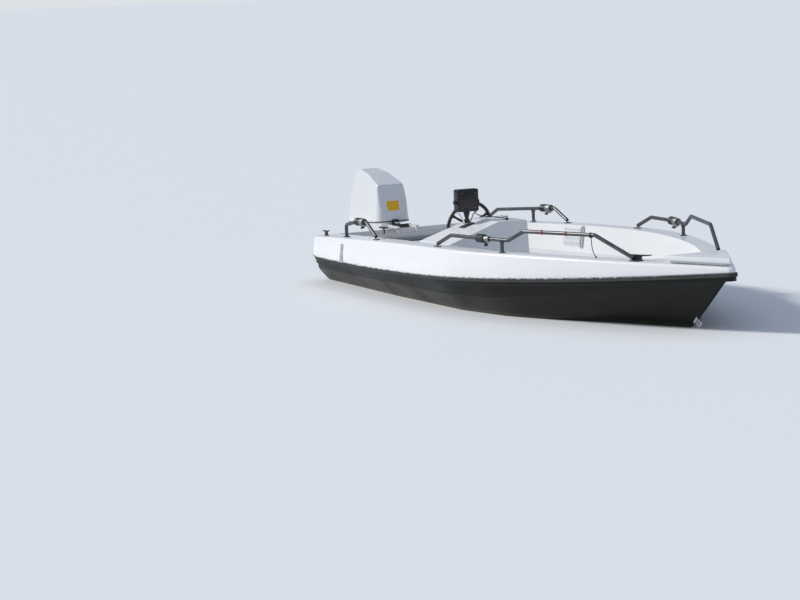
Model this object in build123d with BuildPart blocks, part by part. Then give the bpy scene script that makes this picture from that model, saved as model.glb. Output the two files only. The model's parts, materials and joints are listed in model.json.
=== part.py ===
from build123d import *
import os
from math import sqrt, cos, sin, tan, atan2, degrees, radians

os.makedirs("parts", exist_ok=True)

# Small open motorboat with a four-stroke outboard. Millimetres, +X bow, +Y port, +Z up,
# origin on the centreline in the waterplane, near the middle of the hull.

# hull sizes
AFT = 2420.0             # transom, aft of the origin
REACH = 2125.0           # stations at which the long curves are given, aft and forward
BEAM_X = -250.0          # station of greatest beam
BEAM = 885.0             # greatest half beam of the deck moulding at its lower edge
TRANSOM_IN = 85.0        # how much narrower each side is at the transom, before its corners are rounded
TRANSOM_HB = BEAM - TRANSOM_IN
CORNER_R = 170.0         # rounding of the quarters in plan
SHOULDER_IN = 140.0      # how much narrower each side is where it straightens towards the bow
SHOULDER = (600.0, BEAM - SHOULDER_IN)
NOSE = (2087.0, 38.6)             # station and half beam where the rounded nose starts
SHEER = (364.0, 438.0, 420.5)     # gunwale height aft, amidships and forward
RUB = (200.0, 250.0, 387.0)       # joint of hull and deck moulding at the same stations
SIDE_TAPER = 8.0         # lean of the deck moulding's side, degrees
EDGE_R, TURN_R = 20.0, 10.0       # rounding of the gunwale's outer edge and of the lower edge
GUNWALE = 128.0          # width of the gunwale's top
SOLE = 62.0              # cockpit floor above the waterline
SKIN = 12.0              # thickness of the inner liner
TRANSOM_T = 62.0         # thickness of the transom at its top
SEAT = 0.3               # play between seated mouldings
DEEP_FWD = 900.0         # forward end of the deep cockpit
COCKPIT_FWD = 1500.0     # forward end of the shallow foredeck well
FOREDECK_Z = 352.0       # floor of the foredeck well
LOCKER = (980.0, 1310.0, 170.0, 150.0)   # bow locker: aft, forward, half width, floor height


def circle3(p, q, r):
    """Centre and radius of the circle through three points."""
    ax, ay, bx, by, cx, cy = *p, *q, *r
    d = 2 * (ax * (by - cy) + bx * (cy - ay) + cx * (ay - by))
    ux = ((ax**2 + ay**2) * (by - cy) + (bx**2 + by**2) * (cy - ay) + (cx**2 + cy**2) * (ay - by)) / d
    uy = ((ax**2 + ay**2) * (cx - bx) + (bx**2 + by**2) * (ax - cx) + (cx**2 + cy**2) * (bx - ax)) / d
    return ux, uy, sqrt((ax - ux) ** 2 + (ay - uy) ** 2)


def height_of(h, x):
    """Height at station x of a long curve given aft, amidships and forward."""
    ux, uy, r = circle3((-REACH, h[0]), (0, h[1]), (REACH, h[2]))
    rise = sqrt(r * r - (x - ux) ** 2)
    return uy + rise if uy < h[1] else uy - rise


def sheer(x):
    return height_of(SHEER, x)


def rub(x):
    return height_of(RUB, x)


# the plan's arcs: centre and radius of the run aft, the run forward, the bow's side and the nose
def crown_arc(x, y):
    """Arc tangent to the greatest beam and through a point."""
    r = ((x - BEAM_X) ** 2 + (BEAM - y) ** 2) / (2 * (BEAM - y))
    return BEAM_X, BEAM - r, r


AFT_ARC = crown_arc(-AFT, TRANSOM_HB)
RUN_ARC = crown_arc(*SHOULDER)
TURN_0 = atan2(SHOULDER[0] - RUN_ARC[0], SHOULDER[1] - RUN_ARC[1])
CHORD = sqrt((NOSE[0] - SHOULDER[0]) ** 2 + (NOSE[1] - SHOULDER[1]) ** 2)
TURN_1 = 2 * atan2(SHOULDER[1] - NOSE[1], NOSE[0] - SHOULDER[0]) - TURN_0
BOW_R = CHORD / (2 * sin((TURN_1 - TURN_0) / 2))
BOW_ARC = (SHOULDER[0] - BOW_R * sin(TURN_0), SHOULDER[1] - BOW_R * cos(TURN_0), BOW_R)
NOSE_ARC = (NOSE[0] - NOSE[1] * tan(TURN_1), 0.0, NOSE[1] / cos(TURN_1))


def half_beam(x):
    """Half beam of the deck moulding's lower edge at station x."""
    cx, cy, r = AFT_ARC if x < BEAM_X else RUN_ARC if x < SHOULDER[0] else BOW_ARC
    return cy + sqrt(r * r - (x - cx) ** 2)


def edge_y(x, inset=0.0):
    """Half beam at the gunwale's top, a distance inboard of its outer edge."""
    return half_beam(x) + 13.0 - (sheer(x) - rub(x)) * tan(radians(SIDE_TAPER)) - inset


def on_arc(arc, turn, grow):
    """Point on one of the plan's arcs, grown, at a turn from the beam's direction."""
    return arc[0] + (arc[2] + grow) * sin(turn), arc[1] + (arc[2] + grow) * cos(turn)


def plan_outline(grow=0.0):
    """The deck moulding's plan as a face, grown or shrunk all round."""
    run = AFT + grow + AFT_ARC[0]
    a0 = (-AFT - grow, AFT_ARC[1] + sqrt((AFT_ARC[2] + grow) ** 2 - run ** 2))
    a1 = (BEAM_X, BEAM + grow)
    b1 = on_arc(RUN_ARC, TURN_0, grow)
    with BuildSketch() as sk:
        with BuildLine():
            RadiusArc(a0, a1, AFT_ARC[2] + grow)
            RadiusArc(a1, b1, RUN_ARC[2] + grow)
            if NOSE_ARC[2] + grow > 8:
                c1 = on_arc(BOW_ARC, TURN_1, grow)
                RadiusArc(b1, c1, BOW_R + grow)
                RadiusArc(c1, (NOSE_ARC[0] + NOSE_ARC[2] + grow, 0), NOSE_ARC[2] + grow)
            else:
                RadiusArc(b1, (BOW_ARC[0] + sqrt((BOW_R + grow) ** 2 - BOW_ARC[1] ** 2), 0), BOW_R + grow)
            mirror(about=Plane.XZ)
            Line(a0, (a0[0], -a0[1]))
        make_face()
        fillet([v for v in sk.vertices() if v.X < 10 - AFT - grow], max(20.0, CORNER_R + grow))
    return sk.sketch


def long_band(low, high, lift_low=0.0, lift_high=0.0):
    """A body as wide as the boat between two long curves; None stands for far away."""
    x0, x1 = -AFT - 100, REACH + 200
    with BuildPart() as body:
        with BuildSketch(Plane.XZ):
            with BuildLine():
                if high is None:
                    top = Line((x1, 1500), (x0, 1500))
                else:
                    top = ThreePointArc((x1, height_of(high, x1) + lift_high), (0, high[1] + lift_high),
                                        (x0, height_of(high, x0) + lift_high))
                if low is None:
                    foot = Line((x0, -1500), (x1, -1500))
                else:
                    foot = ThreePointArc((x0, height_of(low, x0) + lift_low), (0, low[1] + lift_low),
                                         (x1, height_of(low, x1) + lift_low))
                Line(top @ 1, foot @ 0)
                Line(foot @ 1, top @ 0)
            make_face()
        extrude(amount=1400, both=True)
    return body.part



# cockpit space
def cockpit_outline(inset):
    """Plan of the cockpit's wall, a distance inboard of the deck moulding's lower edge."""
    x0 = -AFT + TRANSOM_T + 0.35 * (inset - GUNWALE)
    x1 = COCKPIT_FWD - (inset - GUNWALE)
    with BuildLine() as half:
        p0 = (x0, half_beam(x0 + 60) - inset - 45)
        p1 = (BEAM_X, BEAM - inset)
        p3 = (x1, half_beam(x1) - inset - 20)
        mid = 650.0
        ThreePointArc(p0, (BEAM_X - 900, half_beam(BEAM_X - 900) - inset), p1)
        ThreePointArc(p1, (mid, half_beam(mid) - inset), p3)
        mirror(about=Plane.XZ)
        Line(p0, (p0[0], -p0[1]))
        Line(p3, (p3[0], -p3[1]))
    return half.line


def cockpit(grow=0.0, floor=SOLE):
    """The deep cockpit from the sole up, and the shallow well ahead of it."""
    with BuildPart() as body:
        for z, inset in ((floor, GUNWALE + 95 - grow), (floor + 600, GUNWALE + 5 - grow)):
            with BuildSketch(Plane.XY.offset(z)):
                with BuildLine():
                    add(cockpit_outline(inset))
                make_face()
        loft()
        with Locations((DEEP_FWD + grow, 0, floor - 50)):
            Box(1500, 2000, FOREDECK_Z - floor + 50, align=(Align.MIN, Align.CENTER, Align.MIN),
                mode=Mode.SUBTRACT)
    return body.part


def locker(grow=0.0, floor_drop=0.0):
    """The bow locker's space under its lid."""
    x0, x1, hw, z0 = LOCKER
    with BuildPart() as body:
        with BuildSketch(Plane.XY.offset(z0 - floor_drop)):
            with Locations(((x0 + x1) / 2, 0)):
                RectangleRounded(x1 - x0 + 2 * grow, 2 * hw + 2 * grow, 40 + grow)
        extrude(amount=300)
    return body.part


CAVITY = cockpit()
CAVITY_BIG = cockpit(grow=SKIN, floor=SOLE - SKIN)
DECK_BAND = long_band(RUB, SHEER)

# deck moulding: gunwales, transom top and foredeck in one white piece, its outer edges rounded over
with BuildPart() as deck_moulding:
    for z, g in ((120, 31.2), (600, 31.2 - 480 * tan(radians(SIDE_TAPER)))):
        with BuildSketch(Plane.XY.offset(z)):
            add(plan_outline(g))
    loft()
    add(DECK_BAND, mode=Mode.INTERSECT)
    nose_wall = sheer(NOSE[0]) - rub(NOSE[0])
    fillet(deck_moulding.faces().sort_by(Axis.Z)[-1].edges(), min(EDGE_R, 0.54 * nose_wall))
    fillet(deck_moulding.faces().sort_by(Axis.Z)[0].edges(), min(TURN_R, 0.28 * nose_wall))
    add(CAVITY, mode=Mode.SUBTRACT)
    add(locker(), mode=Mode.SUBTRACT)
deck_moulding.part.label = "deck_moulding"
export_step(deck_moulding.part, "parts/deck_moulding.step")

# lower hull: each station has its top edge, knuckle, chine and keel
KEEL_HB, KEEL_Z = 14.0, -178.0
FOREFOOT_X = 1100.0      # where the keel starts to rise
STEM_SLOPE, STEM_WL = 0.88, 1630.0
AFT_STATIONS = (-AFT + 8.0, -1100.0, -100.0)
FORE_STATIONS = (-100.0, 350.0, 750.0, 1050.0, 1300.0, 1500.0, 1660.0, 1800.0, 1930.0, 2035.0)


def keel(x):
    if x < FOREFOOT_X:
        return KEEL_Z
    blend_end = 2 * (STEM_WL + KEEL_Z / STEM_SLOPE) - FOREFOOT_X
    if x < blend_end:
        return KEEL_Z + 0.5 * STEM_SLOPE * (x - FOREFOOT_X) ** 2 / (blend_end - FOREFOOT_X)
    return STEM_SLOPE * (x - STEM_WL)


def hull_section(x, grow=0.0):
    """Half section: keel, chine, knuckle and top edge."""
    t = max(0.0, (x + 100.0) / 2135.0)
    top = half_beam(x) - 15.0
    knuckle = top * (0.957 - 0.24 * t * t)
    chine = knuckle * (0.835 - 0.33 * t * t)
    return [(KEEL_HB + grow, keel(x) - grow), (chine + grow, -20.0 + 380.0 * t**2.6 - grow),
            (knuckle + grow, 104.0 + 18.0 * min(1.0, (x + AFT) / 2000.0) + 250.0 * t**1.8 - grow),
            (top + grow, rub(x) + 14.0)]


def hull_loft(stations, grow=0.0):
    """A stretch of the lower hull through its stations."""
    with BuildPart() as body:
        for x in stations:
            with BuildSketch(Plane.YZ.offset(x)):
                with BuildLine():
                    pts = hull_section(x, grow)
                    Polyline(*pts, *[(-y, z) for y, z in reversed(pts)], close=True)
                make_face()
        loft(ruled=True)
    return body.part


def hull_body(grow=0.0):
    """The lower hull below the deck moulding, its quarters rounded with the plan."""
    with BuildPart() as body:
        add(hull_loft(AFT_STATIONS, grow))
        add(hull_loft(FORE_STATIONS, grow))
        with BuildSketch(Plane.XY.offset(-400)):
            add(plan_outline(grow - 15.0))
        extrude(amount=1200, mode=Mode.INTERSECT)
    return body.part


STRIP_H, STRIP_OUT = 20.0, 3.0    # black strip in the joint
FLANGE_H, FLANGE_OUT = 28.0, -5.0  # flange of the hull below it
with BuildPart() as hull_shell:
    add(hull_body())
    with BuildPart(mode=Mode.PRIVATE) as flange:
        with BuildSketch(Plane.XY.offset(100)):
            add(plan_outline(FLANGE_OUT))
        extrude(amount=350)
        add(long_band(RUB, RUB, lift_low=-STRIP_H - FLANGE_H, lift_high=-STRIP_H - SEAT), mode=Mode.INTERSECT)
    add(flange.part)
    add(long_band(None, RUB, lift_high=-SEAT), mode=Mode.INTERSECT)
    add(CAVITY_BIG, mode=Mode.SUBTRACT)
    add(locker(), mode=Mode.SUBTRACT)
hull_shell.part.label = "hull_shell"
export_step(hull_shell.part, "parts/hull_shell.step")

# cockpit liner: the tub between sole and deck moulding
with BuildPart() as cockpit_liner:
    add(cockpit(grow=SKIN - SEAT, floor=SOLE - SKIN + SEAT))
    add(long_band(None, RUB, lift_high=-SEAT), mode=Mode.INTERSECT)
    add(CAVITY, mode=Mode.SUBTRACT)
cockpit_liner.part.label = "cockpit_liner"
export_step(cockpit_liner.part, "parts/cockpit_liner.step")

# rub strip and bow
with BuildPart() as rub_strip:
    with BuildSketch(Plane.XY.offset(100)):
        add(plan_outline(STRIP_OUT))
    extrude(amount=350)
    add(long_band(RUB, RUB, lift_low=-STRIP_H, lift_high=-SEAT), mode=Mode.INTERSECT)
    add(hull_body(SEAT), mode=Mode.SUBTRACT)
    with BuildSketch(Plane.XY.offset(100)):
        add(plan_outline(-60.0))
    extrude(amount=350, mode=Mode.SUBTRACT)
rub_strip.part.label = "rub_strip"
export_step(rub_strip.part, "parts/rub_strip.step")

CAP_AFT = 1680.0
CAP_FOOT_IN, CAP_IN = -64.0, -34.0
CAP_UNDER, CAP_TOP = 20.0, 50.0


def cap_layer(grow, low, high):
    """A slab of the bow cap, following the plan and the sheer."""
    with BuildPart() as body:
        with BuildSketch(Plane.XY.offset(300)):
            add(plan_outline(grow))
            with Locations((CAP_AFT, 0)):
                Rectangle(6000, 3000, align=(Align.MAX, Align.CENTER), mode=Mode.SUBTRACT)
        extrude(amount=400)
        add(long_band(SHEER, SHEER, lift_low=low, lift_high=high), mode=Mode.INTERSECT)
    return body.part


with BuildPart() as bow_cap:
    add(cap_layer(CAP_FOOT_IN, SEAT, CAP_UNDER + 1))
    add(cap_layer(CAP_IN, CAP_UNDER, CAP_TOP))
bow_cap.part.label = "bow_cap"
export_step(bow_cap.part, "parts/bow_cap.step")

# bow locker lid, hinged at its forward edge
LID_T, LID_LAP = 18.0, 22.0
with BuildPart() as bow_lid:
    x0, x1, hw, z0 = LOCKER
    with BuildSketch(Plane.XY.offset(FOREDECK_Z + SEAT)):
        with Locations(((x0 + x1) / 2, 0)):
            RectangleRounded(x1 - x0 + 2 * LID_LAP, 2 * (hw + LID_LAP), 50)
    extrude(amount=LID_T)
    fillet(bow_lid.faces().sort_by(Axis.Z)[-1].edges(), 5)
bow_lid.part.label = "bow_lid"
export_step(bow_lid.part, "parts/bow_lid.step")
LID_HINGE_X = x1 + LID_LAP

with BuildPart() as lid_hinges:
    with Locations(*[(LID_HINGE_X + 15.0, y, FOREDECK_Z + SEAT) for y in (-120.0, 120.0)]):
        Box(16, 60, 10, align=(Align.CENTER, Align.CENTER, Align.MIN))
lid_hinges.part.label = "lid_hinges"
export_step(lid_hinges.part, "parts/lid_hinges.step")

# bow eye on the stem: a backing plate square to it and a ring in the plane of the stem
EYE_Z = 60.0
EYE_X = 1690.0
EYE_RING = (EYE_X + 24.0, EYE_Z - 27.0)
EYE_HOLE_R = 13.0
with BuildPart() as bow_eye:
    with Locations(Location((EYE_X, 0, EYE_Z), (0, 48.65, 0))):
        Box(16, 34, 52, align=(Align.MIN, Align.CENTER, Align.CENTER))
    with BuildSketch(Plane.XZ):
        with Locations(EYE_RING):
            Circle(24)
            Circle(EYE_HOLE_R, mode=Mode.SUBTRACT)
    extrude(amount=6, both=True)
    add(hull_loft(FORE_STATIONS, 0.3), mode=Mode.SUBTRACT)
bow_eye.part.label = "bow_eye"
export_step(bow_eye.part, "parts/bow_eye.step")


# rails and fittings on the gunwale
TUBE_R = 13.0
FOOT_T = 5.0


def rail(points, side, bend=38.0):
    """A bent tube over the gunwale; points give station, inset and height over the top."""
    path = [(x, side * edge_y(x, ins), sheer(x) + h) for x, ins, h in points]
    with BuildPart() as body:
        with BuildLine() as line:
            FilletPolyline(*path, radius=bend)
        with BuildSketch(Plane(origin=line.line @ 0, z_dir=line.line % 0)):
            Circle(TUBE_R)
        sweep(transition=Transition.ROUND)
    return body.part


def deck_plane(x, y, turn=0.0):
    """Plane lying on the gunwale's top at a point, its X along the boat or turned from it."""
    rise = (sheer(x + 5) - sheer(x - 5)) / 10
    p = Plane(origin=(x, y, sheer(x)), x_dir=(1, 0, rise), z_dir=(-rise, 0, 1))
    return p.rotated((0, 0, turn))


def plate_on_deck(x, y, length, width, turn=0.0):
    """A foot plate lying on the gunwale."""
    with BuildPart() as body:
        with BuildSketch(deck_plane(x, y, turn).offset(SEAT)):
            SlotOverall(length, width)
        extrude(amount=FOOT_T)
    return body.part


FOOT_H = FOOT_T + SEAT + 0.9
RAIL_IN = 62.0
END_H = 20.0             # height at which a rail's sloping end meets its foot plate
MID_RAIL = [(-262.0, RAIL_IN, END_H), (-75.0, RAIL_IN, 88.0), (230.0, RAIL_IN, 86.0), (528.0, RAIL_IN, 84.0),
            (660.0, RAIL_IN, 150.0), (1205.0, RAIL_IN, 152.0), (1468.0, RAIL_IN, END_H)]
STANCHION_X = 470.0
CLAMP_X = (245.0, 365.0)
with BuildPart() as mid_rails:
    for side in (-1, 1):
        add(rail(MID_RAIL, side, 24))
mid_rails.part.label = "mid_rails"
export_step(mid_rails.part, "parts/mid_rails.step")

# quarter rails: a short one to starboard, a longer one to port
POST_X = -AFT + 612.0     # after end of the starboard rail
PORT_X = -AFT + 65.0      # after end of the port rail
QUARTER_S = [(POST_X, RAIL_IN, FOOT_H), (POST_X, RAIL_IN, 92.0), (POST_X + 208.0, RAIL_IN, 120.0),
             (POST_X + 378.0, RAIL_IN, 120.0), (POST_X + 546.0, RAIL_IN, END_H)]
QUARTER_P = [(PORT_X, RAIL_IN + 12.0, END_H), (PORT_X + 140.0, RAIL_IN, 90.0),
             (PORT_X + 955.0, RAIL_IN, 108.0), (PORT_X + 1133.0, RAIL_IN, END_H)]
with BuildPart() as quarter_rails:
    add(rail(QUARTER_S, -1, 24))
    add(rail(QUARTER_P, 1, 24))
quarter_rails.part.label = "quarter_rails"
export_step(quarter_rails.part, "parts/quarter_rails.step")


def rail_point(points, x, side):
    """Point on a rail's centre line at station x, along its straight runs."""
    for (x0, i0, h0), (x1, i1, h1) in zip(points, points[1:]):
        if x0 < x1 and x0 <= x <= x1:
            a = Vector(x0, side * edge_y(x0, i0), sheer(x0) + h0)
            b = Vector(x1, side * edge_y(x1, i1), sheer(x1) + h1)
            return a + (b - a) * ((x - x0) / (x1 - x0))


# stanchions under the rails, each with its base flange
STANCHION_R = 10.0
with BuildPart() as rail_stanchions:
    for rail_pts, x, side in ((MID_RAIL, STANCHION_X, -1), (MID_RAIL, STANCHION_X, 1),
                              (QUARTER_P, PORT_X + 655.0, 1)):
        z0 = sheer(x) + SEAT + 0.3
        p = rail_point(rail_pts, x, side)
        with Locations((x, p.Y, z0)):
            Cylinder(STANCHION_R, p.Z - TUBE_R - 1.0 - z0, align=(Align.CENTER, Align.CENTER, Align.MIN))
        with BuildSketch(deck_plane(x, p.Y).offset(SEAT)):
            Circle(24)
        extrude(amount=5)
rail_stanchions.part.label = "rail_stanchions"
export_step(rail_stanchions.part, "parts/rail_stanchions.step")

# foot plates of the rails
with BuildPart() as rail_feet:
    for x, ins, side in ((-268.0, RAIL_IN, -1), (-268.0, RAIL_IN, 1), (1474.0, RAIL_IN, -1),
                         (1474.0, RAIL_IN, 1), (POST_X, RAIL_IN, -1), (POST_X + 552.0, RAIL_IN, -1),
                         (PORT_X + 1139.0, RAIL_IN, 1), (PORT_X - 6.0, RAIL_IN + 12.0, 1)):
        tilt = -side * 27.0 if x > 1000 else 0.0
        add(plate_on_deck(x, side * edge_y(x, ins), 72, 34, tilt))
rail_feet.part.label = "rail_feet"
export_step(rail_feet.part, "parts/rail_feet.step")


def clamp(points, x0, x1, side, r=TUBE_R + 10.0):
    """A split clamp round a rail between two stations, with its knob below."""
    a, b = rail_point(points, x0, side), rail_point(points, x1, side)
    with BuildPart() as body:
        with BuildSketch(Plane(origin=a, z_dir=b - a)):
            Circle(r)
            Circle(TUBE_R + 0.5, mode=Mode.SUBTRACT)
        extrude(amount=(b - a).length)
        mid = (a + b) * 0.5
        with Locations((mid.X, mid.Y + side * (r + 8), mid.Z)):
            with Locations(Rotation(90, 0, 0)):
                Cylinder(9, 24)
                with Locations((0, 0, -side * 16)):
                    Cylinder(15, 12)
    return body.part


with BuildPart() as rail_clamps:
    for side in (-1, 1):
        add(clamp(MID_RAIL, CLAMP_X[0], CLAMP_X[1], side))
    add(clamp(QUARTER_S, POST_X + 223.0, POST_X + 338.0, -1))
    add(clamp(QUARTER_P, PORT_X + 795.0, PORT_X + 905.0, 1))
rail_clamps.part.label = "rail_clamps"
export_step(rail_clamps.part, "parts/rail_clamps.step")

# mooring cleats: two at the quarters and one at the starboard bow
CLEATS = [(-AFT + 185.0, -1, 70.0, 110.0), (-AFT + 310.0, 1, 66.0, 110.0), (1480.0, -1, 100.0, 170.0)]
with BuildPart() as cleats:
    for x, side, ins, length in CLEATS:
        y = side * edge_y(x, ins)
        turn = side * -30.0 if x > 0 else 0.0
        base = deck_plane(x, y, turn).offset(SEAT)
        with BuildSketch(base):
            Rectangle(length * 0.5, 24)
        extrude(amount=6)
        with BuildSketch(base.offset(5)):
            with Locations((-length * 0.14, 0), (length * 0.14, 0)):
                Circle(7)
        extrude(amount=26)
        with BuildSketch(base.offset(30)):
            SlotOverall(length, 17)
        extrude(amount=12)
cleats.part.label = "cleats"
export_step(cleats.part, "parts/cleats.step")

# two short protection plates on the starboard side near the stern
with BuildPart() as side_plates:
    x = -AFT + 698.0
    lean = SIDE_TAPER
    for z, h in ((rub(x) + 43.0, 62.0), (rub(x) + 109.0, 62.0)):
        y = half_beam(x) + 27.0 - (z - 150.0) * tan(radians(lean)) + 3.4
        with Locations(Location((x, -y, z), (-lean, 0, 0))):
            Box(34, 4, h)
side_plates.part.label = "side_plates"
export_step(side_plates.part, "parts/side_plates.step")

# inside the cockpit
FLOOR = SOLE + SEAT
# aft bench: a hollow box with its top
BENCH = (-AFT + 250.0, -AFT + 645.0, 520.0, 225.0)     # aft, forward, half width, height over the sole
BENCH_WALL = 14.0
with BuildPart() as aft_bench:
    x0, x1, hw, h = BENCH
    with Locations(((x0 + x1) / 2, 0, FLOOR)):
        Box(x1 - x0, 2 * hw, h, align=(Align.CENTER, Align.CENTER, Align.MIN))
    fillet(aft_bench.edges().filter_by(Axis.Z), 30)
    with Locations(((x0 + x1) / 2, 0, FLOOR + BENCH_WALL)):
        Box(x1 - x0 - 2 * BENCH_WALL, 2 * (hw - BENCH_WALL), h, align=(Align.CENTER, Align.CENTER, Align.MIN),
            mode=Mode.SUBTRACT)
aft_bench.part.label = "aft_bench"
export_step(aft_bench.part, "parts/aft_bench.step")

BENCH_TOP = FLOOR + BENCH[3]
with BuildPart() as bench_lid:
    with BuildSketch(Plane.XY.offset(BENCH_TOP + SEAT)):
        with Locations(((x0 + x1) / 2 + 6, 0)):
            RectangleRounded(x1 - x0 + 12, 2 * hw + 10, 32)
    extrude(amount=20)
    fillet(bench_lid.faces().sort_by(Axis.Z)[-1].edges(), 6)
bench_lid.part.label = "bench_lid"
export_step(bench_lid.part, "parts/bench_lid.step")

with BuildPart() as bench_cushion:
    with BuildSketch(Plane.XY.offset(BENCH_TOP + SEAT + 20.3)):
        with Locations(((x0 + x1) / 2 + 6, 0)):
            RectangleRounded(x1 - x0 - 60, 2 * hw - 60, 40)
    extrude(amount=38)
    fillet(bench_cushion.faces().sort_by(Axis.Z)[-1].edges(), 12)
bench_cushion.part.label = "bench_cushion"
export_step(bench_cushion.part, "parts/bench_cushion.step")

# console to starboard: top lower towards the side of the boat
CON_AFT, CON_FWD = -920.0, -420.0
CON_IN, CON_OUT = 12.0, -632.0
CON_TOP, CON_LOW = 545.0, 410.0
CON_KNEE = -220.0        # where the top starts to slope to starboard
SLOPE_DEG = degrees(atan2(CON_TOP - CON_LOW, CON_KNEE - CON_OUT))
with BuildPart() as console:
    with BuildSketch(Plane.YZ.offset(CON_AFT)):
        with BuildLine():
            Polyline((CON_IN, FLOOR), (CON_IN, CON_TOP), (CON_KNEE, CON_TOP), (CON_OUT, CON_LOW),
                     (CON_OUT, FLOOR), close=True)
        make_face()
    extrude(amount=CON_FWD - CON_AFT)
    with BuildSketch(Plane.XZ.offset(-200)) as rake:
        with BuildLine():
            Polyline((CON_AFT - 5, FLOOR - 5), (CON_AFT - 5, 700), (CON_AFT + 95, 700), (CON_AFT, 250),
                     (CON_AFT, FLOOR - 5), close=True)
        make_face()
        with BuildLine():
            Polyline((CON_FWD + 5, FLOOR - 5), (CON_FWD + 5, 700), (CON_FWD - 55, 700), (CON_FWD, FLOOR - 5),
                     close=True)
        make_face()
    extrude(amount=1200, both=True, mode=Mode.SUBTRACT)
    fillet(console.edges().filter_by(Axis.X).filter_by(lambda e: e.center().Z > FLOOR + 60), 22)
console.part.label = "console"
export_step(console.part, "parts/console.step")


def console_top(y):
    """Height of the console's top at a distance across."""
    fall = (CON_TOP - CON_LOW) / (CON_KNEE - CON_OUT)
    return CON_TOP if y > CON_KNEE else CON_TOP - fall * (CON_KNEE - y)


# black instrument box with its two side knobs, on a bracket over the console
BOX_C = (-725.0, -330.0, 690.0)
BOX_D, BOX_W, BOX_H = 76.0, 168.0, 160.0
with BuildPart() as instrument_box:
    with Locations(BOX_C):
        Box(BOX_D, BOX_W, BOX_H)
    fillet(instrument_box.edges().filter_by(Axis.X), 12)
    fillet(instrument_box.faces().sort_by(Axis.X)[0].edges(), 5)
    with Locations((BOX_C[0], BOX_C[1], BOX_C[2] - 12)):
        with Locations(Rotation(90, 0, 0)):
            Cylinder(13, BOX_W + 36)
instrument_box.part.label = "instrument_box"
export_step(instrument_box.part, "parts/instrument_box.step")

with BuildPart() as box_bracket:
    gap_z = BOX_C[2] - BOX_H / 2 - SEAT
    with Locations((BOX_C[0], BOX_C[1], gap_z)):
        Box(60, 110, 5, align=(Align.CENTER, Align.CENTER, Align.MAX))
    for dy in (-34.0, 34.0):
        foot_y = BOX_C[1] + dy * 0.6
        with BuildSketch(Plane.YZ.offset(BOX_C[0] - 14)):
            with BuildLine():
                zt = console_top(foot_y) + 6
                Polyline((foot_y - 7, zt), (foot_y + 7, zt), (BOX_C[1] + dy + 7, gap_z - 4),
                         (BOX_C[1] + dy - 7, gap_z - 4), close=True)
            make_face()
        extrude(amount=28)
box_bracket.part.label = "box_bracket"
export_step(box_bracket.part, "parts/box_bracket.step")

# dark mounting plate of the bracket on the sloping console top
with BuildPart() as bracket_plate:
    with Locations(Location((BOX_C[0], BOX_C[1], console_top(BOX_C[1]) + SEAT), (SLOPE_DEG, 0, 0))):
        Box(72, 96, 5, align=(Align.CENTER, Align.CENTER, Align.MIN))
    add(box_bracket.part, mode=Mode.SUBTRACT)
bracket_plate.part.label = "bracket_plate"
export_step(bracket_plate.part, "parts/bracket_plate.step")

# steering wheel on the console's aft face
RAKE = 11.92
HELM_Y, HELM_Z = -200.0, 472.0
helm_x = CON_AFT + 95.0 * (HELM_Z - 250.0) / 450.0
HELM = Plane(origin=(helm_x, HELM_Y, HELM_Z), x_dir=(0, -1, 0),
             z_dir=(-cos(radians(RAKE)), 0, sin(radians(RAKE))))
with BuildPart() as helm_boss:
    with BuildSketch(HELM.offset(SEAT)):
        Circle(48)
    extrude(amount=26)
    with BuildSketch(HELM.offset(26)):
        Circle(11)
    extrude(amount=36)
helm_boss.part.label = "helm_boss"
export_step(helm_boss.part, "parts/helm_boss.step")

WHEEL_R, RIM_R = 170.0, 13.0
with BuildPart() as steering_wheel:
    with BuildSketch(HELM.offset(42)):
        Circle(32)
        Circle(11.6, mode=Mode.SUBTRACT)
    extrude(amount=30)
    with BuildSketch(HELM.offset(72)):
        Circle(30)
    extrude(amount=8)
    for k in range(3):
        with BuildSketch(HELM.offset(56)):
            with PolarLocations(0, 1, start_angle=30 + 120 * k):
                with Locations((0, 0)):
                    Rectangle(WHEEL_R, 22, align=(Align.MIN, Align.CENTER))
            Circle(25, mode=Mode.SUBTRACT)
        extrude(amount=9)
    rim_at = HELM.offset(62).origin + Vector(0, -WHEEL_R, 0)
    with BuildSketch(Plane(origin=rim_at, x_dir=(0, -1, 0), z_dir=HELM.x_dir.cross(HELM.z_dir))):
        Circle(RIM_R)
    revolve(axis=Axis(HELM.offset(62).origin, HELM.z_dir), revolution_arc=360)
steering_wheel.part.label = "steering_wheel"
export_step(steering_wheel.part, "parts/steering_wheel.step")


def cord(points, radius, bends):
    """A cord of straight runs and tangent arcs."""
    with BuildPart() as body:
        with BuildLine() as line:
            FilletPolyline(*points, radius=bends)
        with BuildSketch(Plane(origin=line.line @ 0, z_dir=line.line % 0)):
            Circle(radius)
        sweep()
    return body.part, sum(e.length for e in line.line.edges())


bx, by = BOX_C[0], BOX_C[1]
part_a, len_a = cord([(bx - 10, by + 66, gap_z - 1), (bx - 10, by + 80, gap_z - 34),
                      (bx + 40, by + 170, CON_TOP + 16), (bx + 150, by + 215, CON_TOP + 14),
                      (bx + 185, by + 228, CON_TOP + 5.5)], 3.5, 7)
with BuildPart() as box_cable:
    add(part_a)
box_cable.part.label = "box_cable"
export_step(box_cable.part, "parts/box_cable.step")

# outboard, set out from the transom
TILT_X, TILT_Z = -AFT - 34.0, 352.0
STEER_X = -AFT - 103.0
TILT_R, TILT_BORE = 14.0, 14.5
BARREL_R = 22.0
ARM_IN, ARM_OUT = 70.0, 92.0
SADDLE_Z = sheer(-AFT + 100.0) + 1.0
PAN_Z0, PAN_Z1 = 386.0, 412.0
SEAM_H = 6.0
COWL_Z = PAN_Z1 + SEAM_H

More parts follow.
